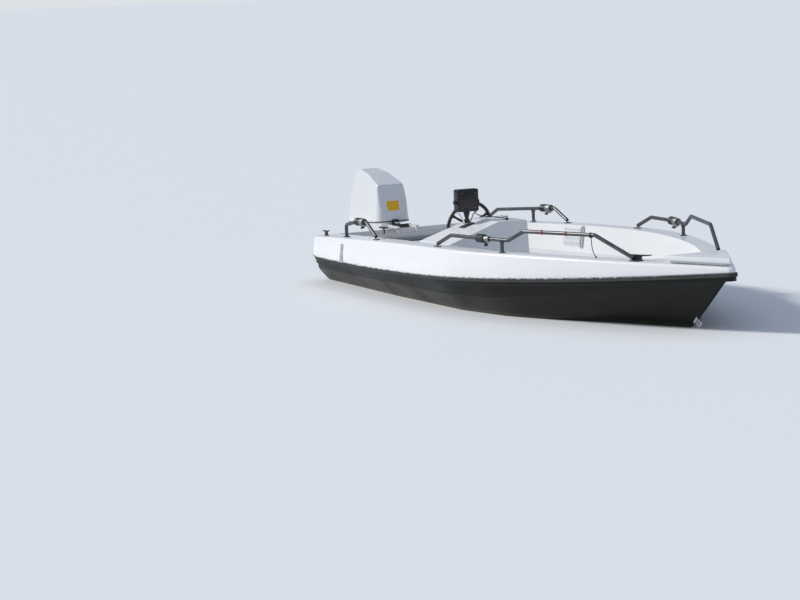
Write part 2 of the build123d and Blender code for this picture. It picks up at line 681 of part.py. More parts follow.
with BuildPart() as clamp_bracket:
    back, front = -AFT - 28.0, -AFT + 93.0
    for side in (-1, 1):
        with BuildSketch(Plane.XZ.offset(-side * (ARM_IN + ARM_OUT) / 2)):
            with BuildLine():
                Polyline((back - 38, 110), (back, 110), (back, SADDLE_Z), (front, SADDLE_Z), (front, 262),
                         (front + 20, 262), (front + 20, SADDLE_Z + 16), (back + 22, SADDLE_Z + 16),
                         (TILT_X + 16, TILT_Z + 18), (TILT_X - 16, TILT_Z + 18), (back - 38, TILT_Z - 10),
                         close=True)
            make_face()
            with Locations((TILT_X, TILT_Z)):
                Circle(BARREL_R)
        extrude(amount=(ARM_OUT - ARM_IN) / 2, both=True)
        # clamp screw with its pad and wing handle
        with Locations((front + 20, side * 81, 292)):
            with Locations(Rotation(0, 90, 0)):
                Cylinder(8, 46, align=(Align.CENTER, Align.CENTER, Align.MIN))
                with Locations((0, 0, 46)):
                    Box(64, 14, 9)
        with Locations((front, side * 81, 292)):
            with Locations(Rotation(0, -90, 0)):
                Cylinder(20, 7.5, align=(Align.CENTER, Align.CENTER, Align.MIN))
    with Locations((TILT_X, 0, TILT_Z)):
        with Locations(Rotation(90, 0, 0)):
            Cylinder(TILT_R, 2 * 106)
clamp_bracket.part.label = "clamp_bracket"
export_step(clamp_bracket.part, "parts/clamp_bracket.step")

SWIVEL_R, SHAFT_R = 32.0, 16.0
SWIVEL_Z = (112.0, 376.0)
with BuildPart() as swivel_bracket:
    with Locations((TILT_X, 0, TILT_Z)):
        with Locations(Rotation(90, 0, 0)):
            Cylinder(BARREL_R, 2 * (ARM_IN - 1.0))
    with Locations((STEER_X, 0, SWIVEL_Z[0])):
        Cylinder(SWIVEL_R, SWIVEL_Z[1] - SWIVEL_Z[0], align=(Align.CENTER, Align.CENTER, Align.MIN))
    with BuildSketch(Plane.XZ):
        with BuildLine():
            Polyline((STEER_X, 130), (STEER_X + 36, 130), (TILT_X - 8, 220), (TILT_X - 4, TILT_Z - 10),
                     (TILT_X - 8, TILT_Z + 16), (STEER_X, SWIVEL_Z[1] - 4), close=True)
        make_face()
    extrude(amount=26, both=True)
    with Locations((TILT_X, 0, TILT_Z)):
        with Locations(Rotation(90, 0, 0)):
            Cylinder(TILT_BORE, 400, mode=Mode.SUBTRACT)
    with Locations((STEER_X, 0, 0)):
        Cylinder(SHAFT_R + 0.5, 1200, mode=Mode.SUBTRACT)
swivel_bracket.part.label = "swivel_bracket"
export_step(swivel_bracket.part, "parts/swivel_bracket.step")

# midsection: steering shaft, exhaust housing, anti-ventilation plate, gearcase and skeg
LEG_FWD, LEG_AFT = -AFT - 145.0, -AFT - 285.0
LEG_TOP = 70.0
PLATE_Z, PROP_Z = -165.0, -305.0
PLATE_T = 8.0
with BuildPart() as leg:
    with Locations((STEER_X, 0, LEG_TOP)):
        Cylinder(SHAFT_R, PAN_Z0 - SEAT - LEG_TOP, align=(Align.CENTER, Align.CENTER, Align.MIN))
    with Locations(((LEG_AFT + STEER_X) / 2 + 10, 0, LEG_TOP)):
        Box(STEER_X - LEG_AFT + 20, 56, 34, align=(Align.CENTER, Align.CENTER, Align.MIN))
    for z, w, r in ((PAN_Z0 - SEAT, 104.0, 30.0), (60.0, 76.0, 26.0)):
        with BuildSketch(Plane.XY.offset(z)):
            with Locations(((LEG_FWD + LEG_AFT) / 2, 0)):
                RectangleRounded(LEG_FWD - LEG_AFT, w, r)
    loft()
with BuildPart() as leg_low:
    for z, xf, xa, w, r in ((60.0, LEG_FWD, LEG_AFT, 76.0, 26.0),
                            (PLATE_Z, LEG_FWD - 6, LEG_AFT - 4, 46.0, 20.0),
                            (PROP_Z + 20, LEG_FWD - 16, LEG_AFT - 6, 30.0, 14.0)):
        with BuildSketch(Plane.XY.offset(z)):
            with Locations(((xf + xa) / 2, 0)):
                RectangleRounded(xf - xa, w, r)
    loft(ruled=True)
with BuildPart() as leg_all:
    add(leg.part)
    add(leg_low.part)
    with BuildSketch(Plane.XY.offset(PLATE_Z)):
        with BuildLine():
            half = [(LEG_FWD + 16, 0), (LEG_FWD, 34), (LEG_AFT - 60, 82), (LEG_AFT - 150, 70),
                    (LEG_AFT - 168, 0)]
            Polyline(*half, *[(x, -y) for x, y in reversed(half[1:-1])], close=True)
        make_face()
    extrude(amount=PLATE_T)
    with BuildSketch(Plane.XZ):
        with BuildLine():
            nose, tail = LEG_FWD + 38.0, LEG_AFT - 96.0
            Line((tail, PROP_Z), (nose, PROP_Z))
            a = ThreePointArc((nose, PROP_Z), (nose - 20, PROP_Z + 25), (nose - 70, PROP_Z + 38))
            b = Line(a @ 1, (tail + 60, PROP_Z + 38))
            Line(b @ 1, (tail, PROP_Z + 31))
            Line((tail, PROP_Z + 31), (tail, PROP_Z))
        make_face()
    revolve(axis=Axis((0, 0, PROP_Z), (1, 0, 0)), revolution_arc=360)
    with BuildSketch(Plane.XZ):
        with BuildLine():
            Polyline((LEG_FWD - 8, PROP_Z - 20), (LEG_FWD - 70, PROP_Z - 128), (LEG_AFT - 34, PROP_Z - 136),
                     (LEG_AFT - 10, PROP_Z - 20), close=True)
        make_face()
    extrude(amount=6, both=True)
    # short steering arm ahead of the shaft
    with Locations((STEER_X, 0, PAN_Z0 - SEAT)):
        Box(62, 34, 7, align=(Align.MIN, Align.CENTER, Align.MAX))
    # bore for the propeller shaft
    with Locations((tail - 1, 0, PROP_Z)):
        with Locations(Rotation(0, 90, 0)):
            Cylinder(9.5, 61, align=(Align.CENTER, Align.CENTER, Align.MIN), mode=Mode.SUBTRACT)
leg_all.part.label = "midsection"
export_step(leg_all.part, "parts/midsection.step")

PROP_R, HUB_R, HUB_L = 112.0, 30.0, 72.0
with BuildPart() as propeller:
    hub_x = tail - 1.5
    with Locations((hub_x, 0, PROP_Z)):
        with Locations(Rotation(0, -90, 0)):
            Cylinder(HUB_R, HUB_L, align=(Align.CENTER, Align.CENTER, Align.MIN))
            with Locations((0, 0, HUB_L)):
                Cone(16, 10, 16, align=(Align.CENTER, Align.CENTER, Align.MIN))
    with Locations((hub_x + 55, 0, PROP_Z)):
        with Locations(Rotation(0, -90, 0)):
            Cylinder(9, 60, align=(Align.CENTER, Align.CENTER, Align.MIN))
    for k in range(3):
        with Locations(Location((hub_x - HUB_L / 2, 0, PROP_Z), (120 * k, 0, 0))):
            with Locations(Location((0, 0, 68), (0, 0, 28))):
                Box(6, 84, 88)
    with Locations((hub_x - HUB_L / 2, 0, PROP_Z)):
        with Locations(Rotation(0, 90, 0)):
            Cylinder(PROP_R, 120, mode=Mode.INTERSECT)
propeller.part.label = "propeller"
export_step(propeller.part, "parts/propeller.step")

# cowl: lower pan, dark seam and upper cover, with the engine inside as one plain block
COWL_FWD, COWL_AFT = -AFT - 110.0, -AFT - 700.0
COWL_W = 310.0


def cowl_plan(z, shrink, width_cut=0.0, length_cut=0.0):
    """Rounded plan of the cowl at a height."""
    with BuildSketch(Plane.XY.offset(z)) as sk:
        with Locations(((COWL_FWD + COWL_AFT) / 2, 0)):
            RectangleRounded(COWL_FWD - COWL_AFT - 2 * shrink - length_cut, COWL_W - 2 * shrink - width_cut,
                             70 - shrink)
    return sk.sketch


PAN_WALL = 6.0
with BuildPart() as cowl_lower:
    add(cowl_plan(PAN_Z0, 18.0))
    add(cowl_plan(PAN_Z1, 3.0))
    loft()
    with BuildSketch(Plane.XY.offset(PAN_Z0 + PAN_WALL)):
        add(cowl_plan(0, 18.0 + PAN_WALL))
    extrude(amount=100, mode=Mode.SUBTRACT)
cowl_lower.part.label = "cowl_lower"
export_step(cowl_lower.part, "parts/cowl_lower.step")

with BuildPart() as cowl_seam:
    with BuildSketch(Plane.XY.offset(PAN_Z1 + 0.2)):
        add(cowl_plan(0, 0.0))
        add(cowl_plan(0, 16.0), mode=Mode.SUBTRACT)
    extrude(amount=SEAM_H - 0.4)
cowl_seam.part.label = "cowl_seam"
export_step(cowl_seam.part, "parts/cowl_seam.step")


def cowl_form(shrink):
    """The upper cover's outer form, drawn in by a wall's thickness."""
    with BuildPart() as plan:
        add(cowl_plan(COWL_Z - (20 if shrink else 0), shrink))
        add(cowl_plan(COWL_Z + 390, shrink, 44.0, 30.0))
        loft()
    with BuildPart() as side:
        with BuildSketch(Plane.XZ):
            with BuildLine():
                s_ = shrink
                Polyline((COWL_AFT - 10, COWL_Z - 30), (COWL_FWD + 10, COWL_Z - 30), (COWL_FWD + 10, 520),
                         (COWL_FWD - 24 - s_, 690 - s_), (COWL_FWD - 130, 728 - s_),
                         (COWL_FWD - 300, 784 - s_), (COWL_FWD - 370, 786 - s_),
                         (COWL_FWD - 430 + s_ * 0.4, 762 - s_), (COWL_AFT + 96 + s_, 696 - s_ * 0.6),
                         (COWL_AFT + 44 + s_, 560), (COWL_AFT + s_, COWL_Z + 24),
                         (COWL_AFT - 10, COWL_Z), close=True)
            make_face()
        extrude(amount=300, both=True)
    return plan.part & side.part


COWL_WALL = 5.0
with BuildPart() as cowl_upper:
    add(cowl_form(0.0))
    top_edges = cowl_upper.edges().filter_by(lambda e: e.center().Z > 700)
    fillet(top_edges, 10)
    add(cowl_form(COWL_WALL + 8), mode=Mode.SUBTRACT)
cowl_upper.part.label = "cowl_upper"
export_step(cowl_upper.part, "parts/cowl_upper.step")

with BuildPart() as engine_block:
    with Locations(((COWL_FWD + COWL_AFT) / 2 - 10, 0, PAN_Z0 + PAN_WALL + SEAT)):
        Box(360, 210, 230, align=(Align.CENTER, Align.CENTER, Align.MIN))
engine_block.part.label = "engine_block"
export_step(engine_block.part, "parts/engine_block.step")

# steering cable from the console round the cockpit to the tilt tube
CABLE_R = 7.0
WAY_Y, WAY_X = -548.0, BENCH[0] - 60.0
part_c, len_c = cord([(CON_AFT - 4, -565, 150), (-1180, -585, 150), (-1700, -590, 150), (WAY_X, WAY_Y, 150),
                      (WAY_X, -330, 150), (WAY_X, -222, SADDLE_Z + 24), (TILT_X, -210, TILT_Z + 14),
                      (TILT_X, -107.8, TILT_Z + 0.3)], CABLE_R, 18)
with BuildPart() as steering_cable:
    add(part_c)
steering_cable.part.label = "steering_cable"
export_step(steering_cable.part, "parts/steering_cable.step")
print("cords", round(len_a), round(len_c))
print("tilt", TILT_X, TILT_Z, "steer", STEER_X, "tail", tail, PROP_Z, "saddle", SADDLE_Z)
print("eye", EYE_RING, "helm", HELM.offset(62).origin, HELM.z_dir, "lid", LID_HINGE_X)
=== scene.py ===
import bpy, bmesh, json
from math import radians, pi, sin, cos, tan, atan2, asin, sqrt, hypot
from mathutils import Vector, Matrix, Euler


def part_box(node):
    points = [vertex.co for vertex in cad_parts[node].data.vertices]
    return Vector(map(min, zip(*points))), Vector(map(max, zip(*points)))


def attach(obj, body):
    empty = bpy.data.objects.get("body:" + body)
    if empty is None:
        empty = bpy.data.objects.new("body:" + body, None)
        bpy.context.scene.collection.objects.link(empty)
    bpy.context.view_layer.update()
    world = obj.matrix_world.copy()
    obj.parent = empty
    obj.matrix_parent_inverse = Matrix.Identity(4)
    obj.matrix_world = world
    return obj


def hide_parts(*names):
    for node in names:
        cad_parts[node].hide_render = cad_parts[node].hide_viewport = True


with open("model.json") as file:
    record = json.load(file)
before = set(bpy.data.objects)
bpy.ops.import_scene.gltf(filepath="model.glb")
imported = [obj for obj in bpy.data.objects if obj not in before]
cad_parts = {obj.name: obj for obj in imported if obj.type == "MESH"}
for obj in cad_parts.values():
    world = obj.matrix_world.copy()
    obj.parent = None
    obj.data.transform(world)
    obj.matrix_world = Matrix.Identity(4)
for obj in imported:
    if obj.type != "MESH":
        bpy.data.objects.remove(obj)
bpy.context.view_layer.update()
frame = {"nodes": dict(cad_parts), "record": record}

nodes = frame["nodes"]
scene = bpy.context.scene

# Camera. It stands low off the starboard bow, a long way off, and looks aft along the boat.
# The rows are its right, up and backward directions in the boat's frame.
CAMERA_PLACE = (14.338, -8.392, 2.195)
CAMERA_RIGHT = (0.4501, 0.89217, -0.0379)
CAMERA_UP = (-0.09732, 0.0912, 0.99107)
CAMERA_BACK = (0.88766, -0.44239, 0.12787)
camera_data = bpy.data.cameras.new("camera")
camera = bpy.data.objects.new("camera", camera_data)
scene.collection.objects.link(camera)
turn = Matrix((CAMERA_RIGHT, CAMERA_UP, CAMERA_BACK)).transposed()
camera.matrix_world = Matrix.Translation(CAMERA_PLACE) @ turn.to_4x4()
camera_data.sensor_width = 36.0
camera_data.lens = 108.48
camera_data.clip_end = 2000.0
scene.camera = camera


# Cords. The steering cable is a stiff push-pull cable in a black plastic jacket, run low along the
# cockpit side and looped up to the tilt tube; the box cable is a thin lead to the instruments; the
# lanyard is thin cord knotted to the starboard rail. Each is one smooth line with the jacket's fine
# ribbing in its material.
def effect(name, inputs, outputs):
    """An empty node group with named sockets, and its input and output nodes."""
    group = bpy.data.node_groups.new(name, 'ShaderNodeTree')
    for label, kind, value in inputs:
        socket = group.interface.new_socket(name=label, in_out='INPUT', socket_type=kind)
        if value is not None:
            socket.default_value = value
    for label, kind in outputs:
        group.interface.new_socket(name=label, in_out='OUTPUT', socket_type=kind)
    return group, group.nodes.new("NodeGroupInput"), group.nodes.new("NodeGroupOutput")


def node(tree, kind, links=(), **values):
    """A node with its settings, constants and incoming links."""
    made = tree.nodes.new(kind)
    for key, value in values.items():
        setattr(made, key, value)
    for key, value in links:
        if isinstance(value, bpy.types.NodeSocket):
            tree.links.new(value, made.inputs[key])
        else:
            made.inputs[key].default_value = value
    return made


VEC, FLO, COL = 'NodeSocketVector', 'NodeSocketFloat', 'NodeSocketColor'

# soft blotches of dirt, sun bleaching or tarnish, and the roughness that goes with them
weathering, gi, go = effect("weathering", [("Vector", VEC, None), ("Colour", COL, (1, 1, 1, 1)),
                            ("Soil", COL, (0.3, 0.28, 0.25, 1)), ("Amount", FLO, 0.2), ("Scale", FLO, 4.0),
                            ("Smooth", FLO, 0.3), ("Dull", FLO, 0.5)],
                            [("Colour", COL), ("Roughness", FLO)])
cloud = node(weathering, "ShaderNodeTexNoise",
             [("Vector", gi.outputs["Vector"]), ("Scale", gi.outputs["Scale"]),
             ("Detail", 7.0), ("Roughness", 0.62), ("Distortion", 0.3)])
lift = node(weathering, "ShaderNodeMapRange", [("Value", cloud.outputs["Fac"]), ("From Min", 0.40),
            ("From Max", 0.72)])
share = node(weathering, "ShaderNodeMath", [(0, lift.outputs[0]), (1, gi.outputs["Amount"])],
             operation='MULTIPLY')
tint = node(weathering, "ShaderNodeMix", [(0, share.outputs[0]), (6, gi.outputs["Colour"]),
                                          (7, gi.outputs["Soil"])],
            data_type='RGBA')
shine = node(weathering, "ShaderNodeMapRange", [("Value", cloud.outputs["Fac"]), ("From Min", 0.35),
             ("From Max", 0.70), ("To Min", gi.outputs["Smooth"]), ("To Max", gi.outputs["Dull"])])
weathering.links.new(tint.outputs[2], go.inputs["Colour"])
weathering.links.new(shine.outputs[0], go.inputs["Roughness"])

# fine relief: a grain, and larger unevenness under it
grain, gi, go = effect("grain", [("Vector", VEC, None), ("Scale", FLO, 300.0), ("Waviness", FLO, 0.4),
                       ("Stretch", VEC, (1, 1, 1))], [("Height", FLO)])
along = node(grain, "ShaderNodeVectorMath", [(0, gi.outputs["Vector"]), (1, gi.outputs["Stretch"])],
             operation='MULTIPLY')
fine = node(grain, "ShaderNodeTexNoise", [("Vector", along.outputs[0]), ("Scale", gi.outputs["Scale"]),
            ("Detail", 3.0)])
slow = node(grain, "ShaderNodeTexNoise", [("Vector", gi.outputs["Vector"]), ("Scale", 9.0), ("Detail", 2.0)])
both = node(grain, "ShaderNodeMath", [(0, slow.outputs["Fac"]), (1, gi.outputs["Waviness"]),
            (2, fine.outputs["Fac"])], operation='MULTIPLY_ADD')
grain.links.new(both.outputs[0], go.inputs["Height"])

# short scratches that run mostly one way, and rub marks
scuffs, gi, go = effect("scuffs", [("Vector", VEC, None), ("Stretch", VEC, (1, 6, 6)), ("Scale", FLO, 14.0),
                        ("Amount", FLO, 0.3)], [("Mask", FLO)])
along = node(scuffs, "ShaderNodeVectorMath", [(0, gi.outputs["Vector"]), (1, gi.outputs["Stretch"])],
             operation='MULTIPLY')
marks = node(scuffs, "ShaderNodeTexNoise", [("Vector", along.outputs[0]), ("Scale", gi.outputs["Scale"]),
             ("Detail", 8.0), ("Roughness", 0.75)])
thin = node(scuffs, "ShaderNodeMapRange", [("Value", marks.outputs["Fac"]), ("From Min", 0.58),
                                           ("From Max", 0.70)])
some = node(scuffs, "ShaderNodeMath", [(0, thin.outputs[0]), (1, gi.outputs["Amount"])], operation='MULTIPLY')
scuffs.links.new(some.outputs[0], go.inputs["Mask"])

# a band between two heights with a ragged edge
band, gi, go = effect("band", [("Vector", VEC, None), ("Low", FLO, 0.0), ("High", FLO, 0.05),
                               ("Ragged", FLO, 0.03),
                      ("Amount", FLO, 1.0)], [("Mask", FLO)])
apart = node(band, "ShaderNodeSeparateXYZ", [("Vector", gi.outputs["Vector"])])
drift = node(band, "ShaderNodeTexNoise", [("Vector", gi.outputs["Vector"]), ("Scale", 7.0), ("Detail", 5.0)])
sway = node(band, "ShaderNodeMath", [(0, drift.outputs["Fac"]), (1, 0.5)], operation='SUBTRACT')
height = node(band, "ShaderNodeMath", [(0, sway.outputs[0]), (1, gi.outputs["Ragged"]),
                                       (2, apart.outputs["Z"])],
              operation='MULTIPLY_ADD')
fall = node(band, "ShaderNodeMapRange", [("Value", height.outputs[0]), ("From Min", gi.outputs["Low"]),
            ("From Max", gi.outputs["High"]), ("To Min", 1.0), ("To Max", 0.0)],
            interpolation_type='SMOOTHSTEP')
part = node(band, "ShaderNodeMath", [(0, fall.outputs[0]), (1, gi.outputs["Amount"])], operation='MULTIPLY')
band.links.new(part.outputs[0], go.inputs["Mask"])


def finish(name, colour, soil, amount=0.25, scale=4.0, smooth=0.3, dull=0.5, metal=0.0, coat=0.0,
           grain_scale=400.0,
           waviness=0.4, stretch=(1, 1, 1), depth=0.0002, scuff=0.0, scuff_colour=None, scuff_way=(1, 6, 6),
           bands=()):
    """A material of one finish: weathered colour and roughness, scuffs, bands by height, grain relief."""
    made = bpy.data.materials.new(name)
    made.use_nodes = True
    tree = made.node_tree
    shader = tree.nodes["Principled BSDF"]
    place = node(tree, "ShaderNodeTexCoord").outputs["Object"]
    worn = node(tree, "ShaderNodeGroup", node_tree=weathering)
    tree.links.new(place, worn.inputs["Vector"])
    for key, value in (("Colour", (*colour, 1)), ("Soil", (*soil, 1)), ("Amount", amount), ("Scale", scale),
                       ("Smooth", smooth), ("Dull", dull)):
        worn.inputs[key].default_value = value
    paint, gloss = worn.outputs["Colour"], worn.outputs["Roughness"]
    if scuff:
        rub = node(tree, "ShaderNodeGroup", node_tree=scuffs)
        tree.links.new(place, rub.inputs["Vector"])
        rub.inputs["Stretch"].default_value = scuff_way
        rub.inputs["Amount"].default_value = scuff
        paint = node(tree, "ShaderNodeMix", [(0, rub.outputs["Mask"]), (6, paint),
                     (7, (*(scuff_colour or soil), 1))], data_type='RGBA').outputs[2]
    for low, high, ragged, share_of, shade in bands:
        strip = node(tree, "ShaderNodeGroup", node_tree=band)
        tree.links.new(place, strip.inputs["Vector"])
        for key, value in (("Low", low), ("High", high), ("Ragged", ragged), ("Amount", share_of)):
            strip.inputs[key].default_value = value
        paint = node(tree, "ShaderNodeMix", [(0, strip.outputs["Mask"]), (6, paint), (7, (*shade, 1))],
                     data_type='RGBA').outputs[2]
    tree.links.new(paint, shader.inputs["Base Color"])
    tree.links.new(gloss, shader.inputs["Roughness"])
    shader.inputs["Metallic"].default_value = metal
    shader.inputs["Coat Weight"].default_value = coat
    shader.inputs["Coat Roughness"].default_value = 0.12
    fine_grain = node(tree, "ShaderNodeGroup", node_tree=grain)
    tree.links.new(place, fine_grain.inputs["Vector"])
    fine_grain.inputs["Scale"].default_value = grain_scale
    fine_grain.inputs["Waviness"].default_value = waviness
    fine_grain.inputs["Stretch"].default_value = stretch
    bump = node(tree, "ShaderNodeBump", [("Height", fine_grain.outputs["Height"]), ("Distance", depth),
                ("Strength", 1.0)])
    tree.links.new(bump.outputs["Normal"], shader.inputs["Normal"])
    return made


plastic_black = finish("plastic_black", (0.012, 0.013, 0.015), (0.05, 0.05, 0.052), 0.45, 11.0, 0.34, 0.58,
                       grain_scale=900.0, depth=0.00025, scuff=0.25, scuff_colour=(0.09, 0.09, 0.09))
cable_jacket = finish("cable_jacket", (0.014, 0.014, 0.016), (0.06, 0.058, 0.055), 0.4, 16.0, 0.40, 0.62,
                      grain_scale=1200.0, depth=0.0002)
lanyard_cord = finish("lanyard_cord", (0.045, 0.044, 0.042), (0.16, 0.14, 0.11), 0.5, 30.0, 0.75, 0.9,
                      grain_scale=1500.0, stretch=(3, 3, 1), depth=0.0006)


def dress(piece, body, slot, material, *stands_for):
    """Gives a piece its finish and its body, and hides the nodes that it stands for; the slot is not used."""
    piece.data.materials.clear()
    piece.data.materials.append(material)
    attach(piece, body)
    if stands_for:
        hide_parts(*stands_for)
    return piece


def run_cord(name, points, radius, material, slot, *stands_for):
    """A cord along one smooth line through its route's control points."""
    curve = bpy.data.curves.new(name, 'CURVE')
    curve.dimensions = '3D'
    line = curve.splines.new('NURBS')
    line.points.add(len(points) - 1)
    for point, place in zip(line.points, points):
        point.co = (*place, 1)
    line.order_u = 3
    line.use_endpoint_u = True
    line.resolution_u = 10
    curve.bevel_depth = radius
    curve.bevel_resolution = 5
    curve.use_fill_caps = True
    made = bpy.data.objects.new(name, curve)
    scene.collection.objects.link(made)
    return dress(made, "hull", slot, material, *stands_for)


STEERING_ROUTE = [(-0.924, -0.565, 0.150), (-1.180, -0.585, 0.150), (-1.700, -0.590, 0.150),
                  (-2.230, -0.548, 0.150),
                  (-2.230, -0.330, 0.150), (-2.230, -0.222, 0.3776), (-2.454, -0.210, 0.366),
                  (-2.454, -0.1078, 0.3523)]
steering_line = run_cord("steering_line", STEERING_ROUTE, 0.007, cable_jacket, "plastic_black",
                         "steering_cable")

BOX_ROUTE = [(-0.735, -0.264, 0.6087), (-0.735, -0.250, 0.5757), (-0.685, -0.160, 0.561),
             (-0.575, -0.115, 0.559),
             (-0.540, -0.102, 0.5505)]
box_lead = run_cord("box_lead", BOX_ROUTE, 0.0035, cable_jacket, "plastic_black", "box_cable")

LANYARD_ROUTE = [(1.177, -0.453, 0.5765), (1.179, -0.452, 0.540), (1.185, -0.451, 0.500),
                 (1.200, -0.447, 0.468),
                 (1.212, -0.441, 0.449)]
lanyard = run_cord("lanyard", LANYARD_ROUTE, 0.0028, lanyard_cord, "plastic_black")

# Floor and light. The floor lies in the waterplane, pale and plain; a broad soft sun stands aft on the
# starboard side, and the pale world fills the shade.
scene.view_settings.view_transform = 'Standard'
bpy.ops.object.select_all(action='DESELECT')
bpy.ops.mesh.primitive_plane_add(size=1600, location=(0, 0, 0))
floor = bpy.context.object
floor.name = "floor"
floor_paint = bpy.data.materials.new("floor_paint")
floor_paint.use_nodes = True
floor_shader = floor_paint.node_tree.nodes["Principled BSDF"]
floor_shader.inputs["Base Color"].default_value = (0.80, 0.82, 0.84, 1)
floor_shader.inputs["Roughness"].default_value = 0.9
floor.data.materials.append(floor_paint)

sky = bpy.data.worlds.new("sky")
scene.world = sky
sky.use_nodes = True
sky_tree = sky.node_tree
sky_tree.nodes.clear()
sky_path = node(sky_tree, "ShaderNodeLightPath")
sky_any = node(sky_tree, "ShaderNodeMath", [(0, sky_path.outputs["Is Camera Ray"]),
               (1, sky_path.outputs["Is Transmission Ray"])], operation='MAXIMUM')
sky_fill = node(sky_tree, "ShaderNodeBackground", [("Color", (0.70, 0.80, 1.0, 1)), ("Strength", 0.50)])
sky_seen = node(sky_tree, "ShaderNodeBackground", [("Color", (0.80, 0.84, 0.88, 1)), ("Strength", 0.9)])
sky_pick = node(sky_tree, "ShaderNodeMixShader", [(0, sky_any.outputs[0]), (1, sky_fill.outputs[0]),
                (2, sky_seen.outputs[0])])
node(sky_tree, "ShaderNodeOutputWorld", [("Surface", sky_pick.outputs[0])])

SUN_FROM = Vector((-0.50, -0.74, 0.60))
sun_data = bpy.data.lights.new("sun", 'SUN')
sun_data.energy = 2.9
sun_data.angle = radians(9)
sun_data.color = (1.0, 0.965, 0.91)
sun = bpy.data.objects.new("sun", sun_data)
scene.collection.objects.link(sun)
sun.rotation_euler = SUN_FROM.to_track_quat('Z', 'Y').to_euler()


# Lower hull. Hand-laid glass fibre in dark grey-green gelcoat, V-shaped with a chine and a knuckle,
# moulded in one piece and bonded under the deck. Its colour is darker below about 0.19 m as painted
# shade on the lower side, and it has a weed line at the water.
def mesh_copy(name, source):
    """A new piece from a CAD node's mesh, its loose triangles joined."""
    bpy.ops.object.select_all(action='DESELECT')
    made = bpy.data.objects.new(name, nodes[source].data.copy())
    scene.collection.objects.link(made)
    made.select_set(True)
    bpy.context.view_layer.objects.active = made
    bpy.ops.mesh.customdata_custom_splitnormals_clear()
    bpy.ops.object.mode_set(mode='EDIT')
    bpy.ops.mesh.select_all(action='SELECT')
    bpy.ops.mesh.remove_doubles(threshold=0.00002)
    bpy.ops.object.mode_set(mode='OBJECT')
    return made


hull_graphite = finish("hull_graphite", (0.0075, 0.0088, 0.0082), (0.018, 0.020, 0.018), 0.30, 2.2, 0.28,
                       0.50,
                       grain_scale=160.0, waviness=2.0, depth=0.0005, scuff=0.30,
                       scuff_colour=(0.070, 0.074, 0.066),
                       scuff_way=(1, 4, 9),
                       # painted shade: the lower side darker below 0.10 m, fading out by 0.19 m
                       bands=((0.10, 0.19, 0.03, 0.72, (0.006, 0.0075, 0.007)),
                              (0.010, 0.034, 0.014, 0.75, (0.055, 0.060, 0.030)),
                              (-0.03, 0.006, 0.01, 0.85, (0.020, 0.027, 0.012))))
hull_shader = hull_graphite.node_tree.nodes["Principled BSDF"]
hull_shader.inputs["Specular IOR Level"].default_value = 0.22
hull = mesh_copy("hull_bottom", "hull_shell")
bpy.ops.object.shade_smooth_by_angle(angle=radians(14))
dress(hull, "hull", "hull_graphite", hull_graphite, "hull_shell")

# Deck moulding. White gelcoat over glass fibre: the sides, the gunwale and the foredeck well in one
# moulding, whose lower edge rolls under to the rubbing strip. It is streaked and scuffed low down, and
# glossy where it is wiped.
gelcoat_white = finish("gelcoat_white", (0.80, 0.81, 0.82), (0.52, 0.50, 0.46), 0.16, 3.0, 0.20, 0.42,
                       coat=0.25,
                       grain_scale=120.0, waviness=3.0, depth=0.00025, scuff=0.16,
                       scuff_colour=(0.42, 0.41, 0.39),
                       scuff_way=(1, 3, 8))
liner_pale = finish("liner_pale", (0.66, 0.68, 0.71), (0.40, 0.38, 0.34), 0.28, 3.4, 0.40, 0.62,
                    grain_scale=520.0, waviness=0.6, depth=0.0006, scuff=0.22,
                    scuff_colour=(0.30, 0.29, 0.27),
                    scuff_way=(2, 5, 5))
rubber_black = finish("rubber_black", (0.018, 0.018, 0.019), (0.075, 0.074, 0.07), 0.5, 6.0, 0.55, 0.8,
                      grain_scale=700.0, depth=0.0004, scuff=0.35, scuff_colour=(0.16, 0.16, 0.15),
                      scuff_way=(1, 8, 8))

# The plan's long curves, in metres, as the mouldings were drawn: they say how far out the side is at a
# station.
AFT, BEAM_X, BEAM, TRANSOM = -2.42, -0.25, 0.885, 0.80
SHOULDER, NOSE = (0.60, 0.745), (2.087, 0.0386)
RUB, SHEER = (0.200, 0.250, 0.387), (0.364, 0.438, 0.4205)
REACH = 2.125                       # stations of the three heights, aft and forward of the origin


def height_of(three, x):
    """Height at a station of a long curve given aft, amidships and forward."""
    a, b, c = three
    bend, slope = (a + c - 2 * b) / (2 * REACH * REACH), (c - a) / (2 * REACH)
    return b + slope * x + bend * x * x


def half_beam(x):
    """Half beam of the side's lower edge at a station."""
    fall_aft, fall_fwd = BEAM - TRANSOM, BEAM - SHOULDER[1]
    if x <= BEAM_X:
        r = ((AFT - BEAM_X) ** 2 + fall_aft ** 2) / (2 * fall_aft)
        return BEAM - r + sqrt(r * r - (x - BEAM_X) ** 2)
    r = ((SHOULDER[0] - BEAM_X) ** 2 + fall_fwd ** 2) / (2 * fall_fwd)
    if x <= SHOULDER[0]:
        return BEAM - r + sqrt(r * r - (x - BEAM_X) ** 2)
    turn_0 = asin((SHOULDER[0] - BEAM_X) / r)
    dx, dy = NOSE[0] - SHOULDER[0], SHOULDER[1] - NOSE[1]
    turn_1 = 2 * atan2(dy, dx) - turn_0
    r = hypot(dx, dy) / (2 * sin((turn_1 - turn_0) / 2))
    cx, cy = SHOULDER[0] - r * sin(turn_0), SHOULDER[1] - r * cos(turn_0)
    return max(0.0, cy + sqrt(max(r * r - (x - cx) ** 2, 0.0)))


def rub_line(x):
    """Height of the joint of hull and deck at a station."""
    return height_of(RUB, max(AFT, min(x, REACH)))


def cut(place, way, threshold=0.00001, **sides):
    """Cuts the whole piece by a plane."""
    bpy.ops.mesh.select_all(action='SELECT')
    bpy.ops.mesh.bisect(plane_co=place, plane_no=way, threshold=threshold, **sides)


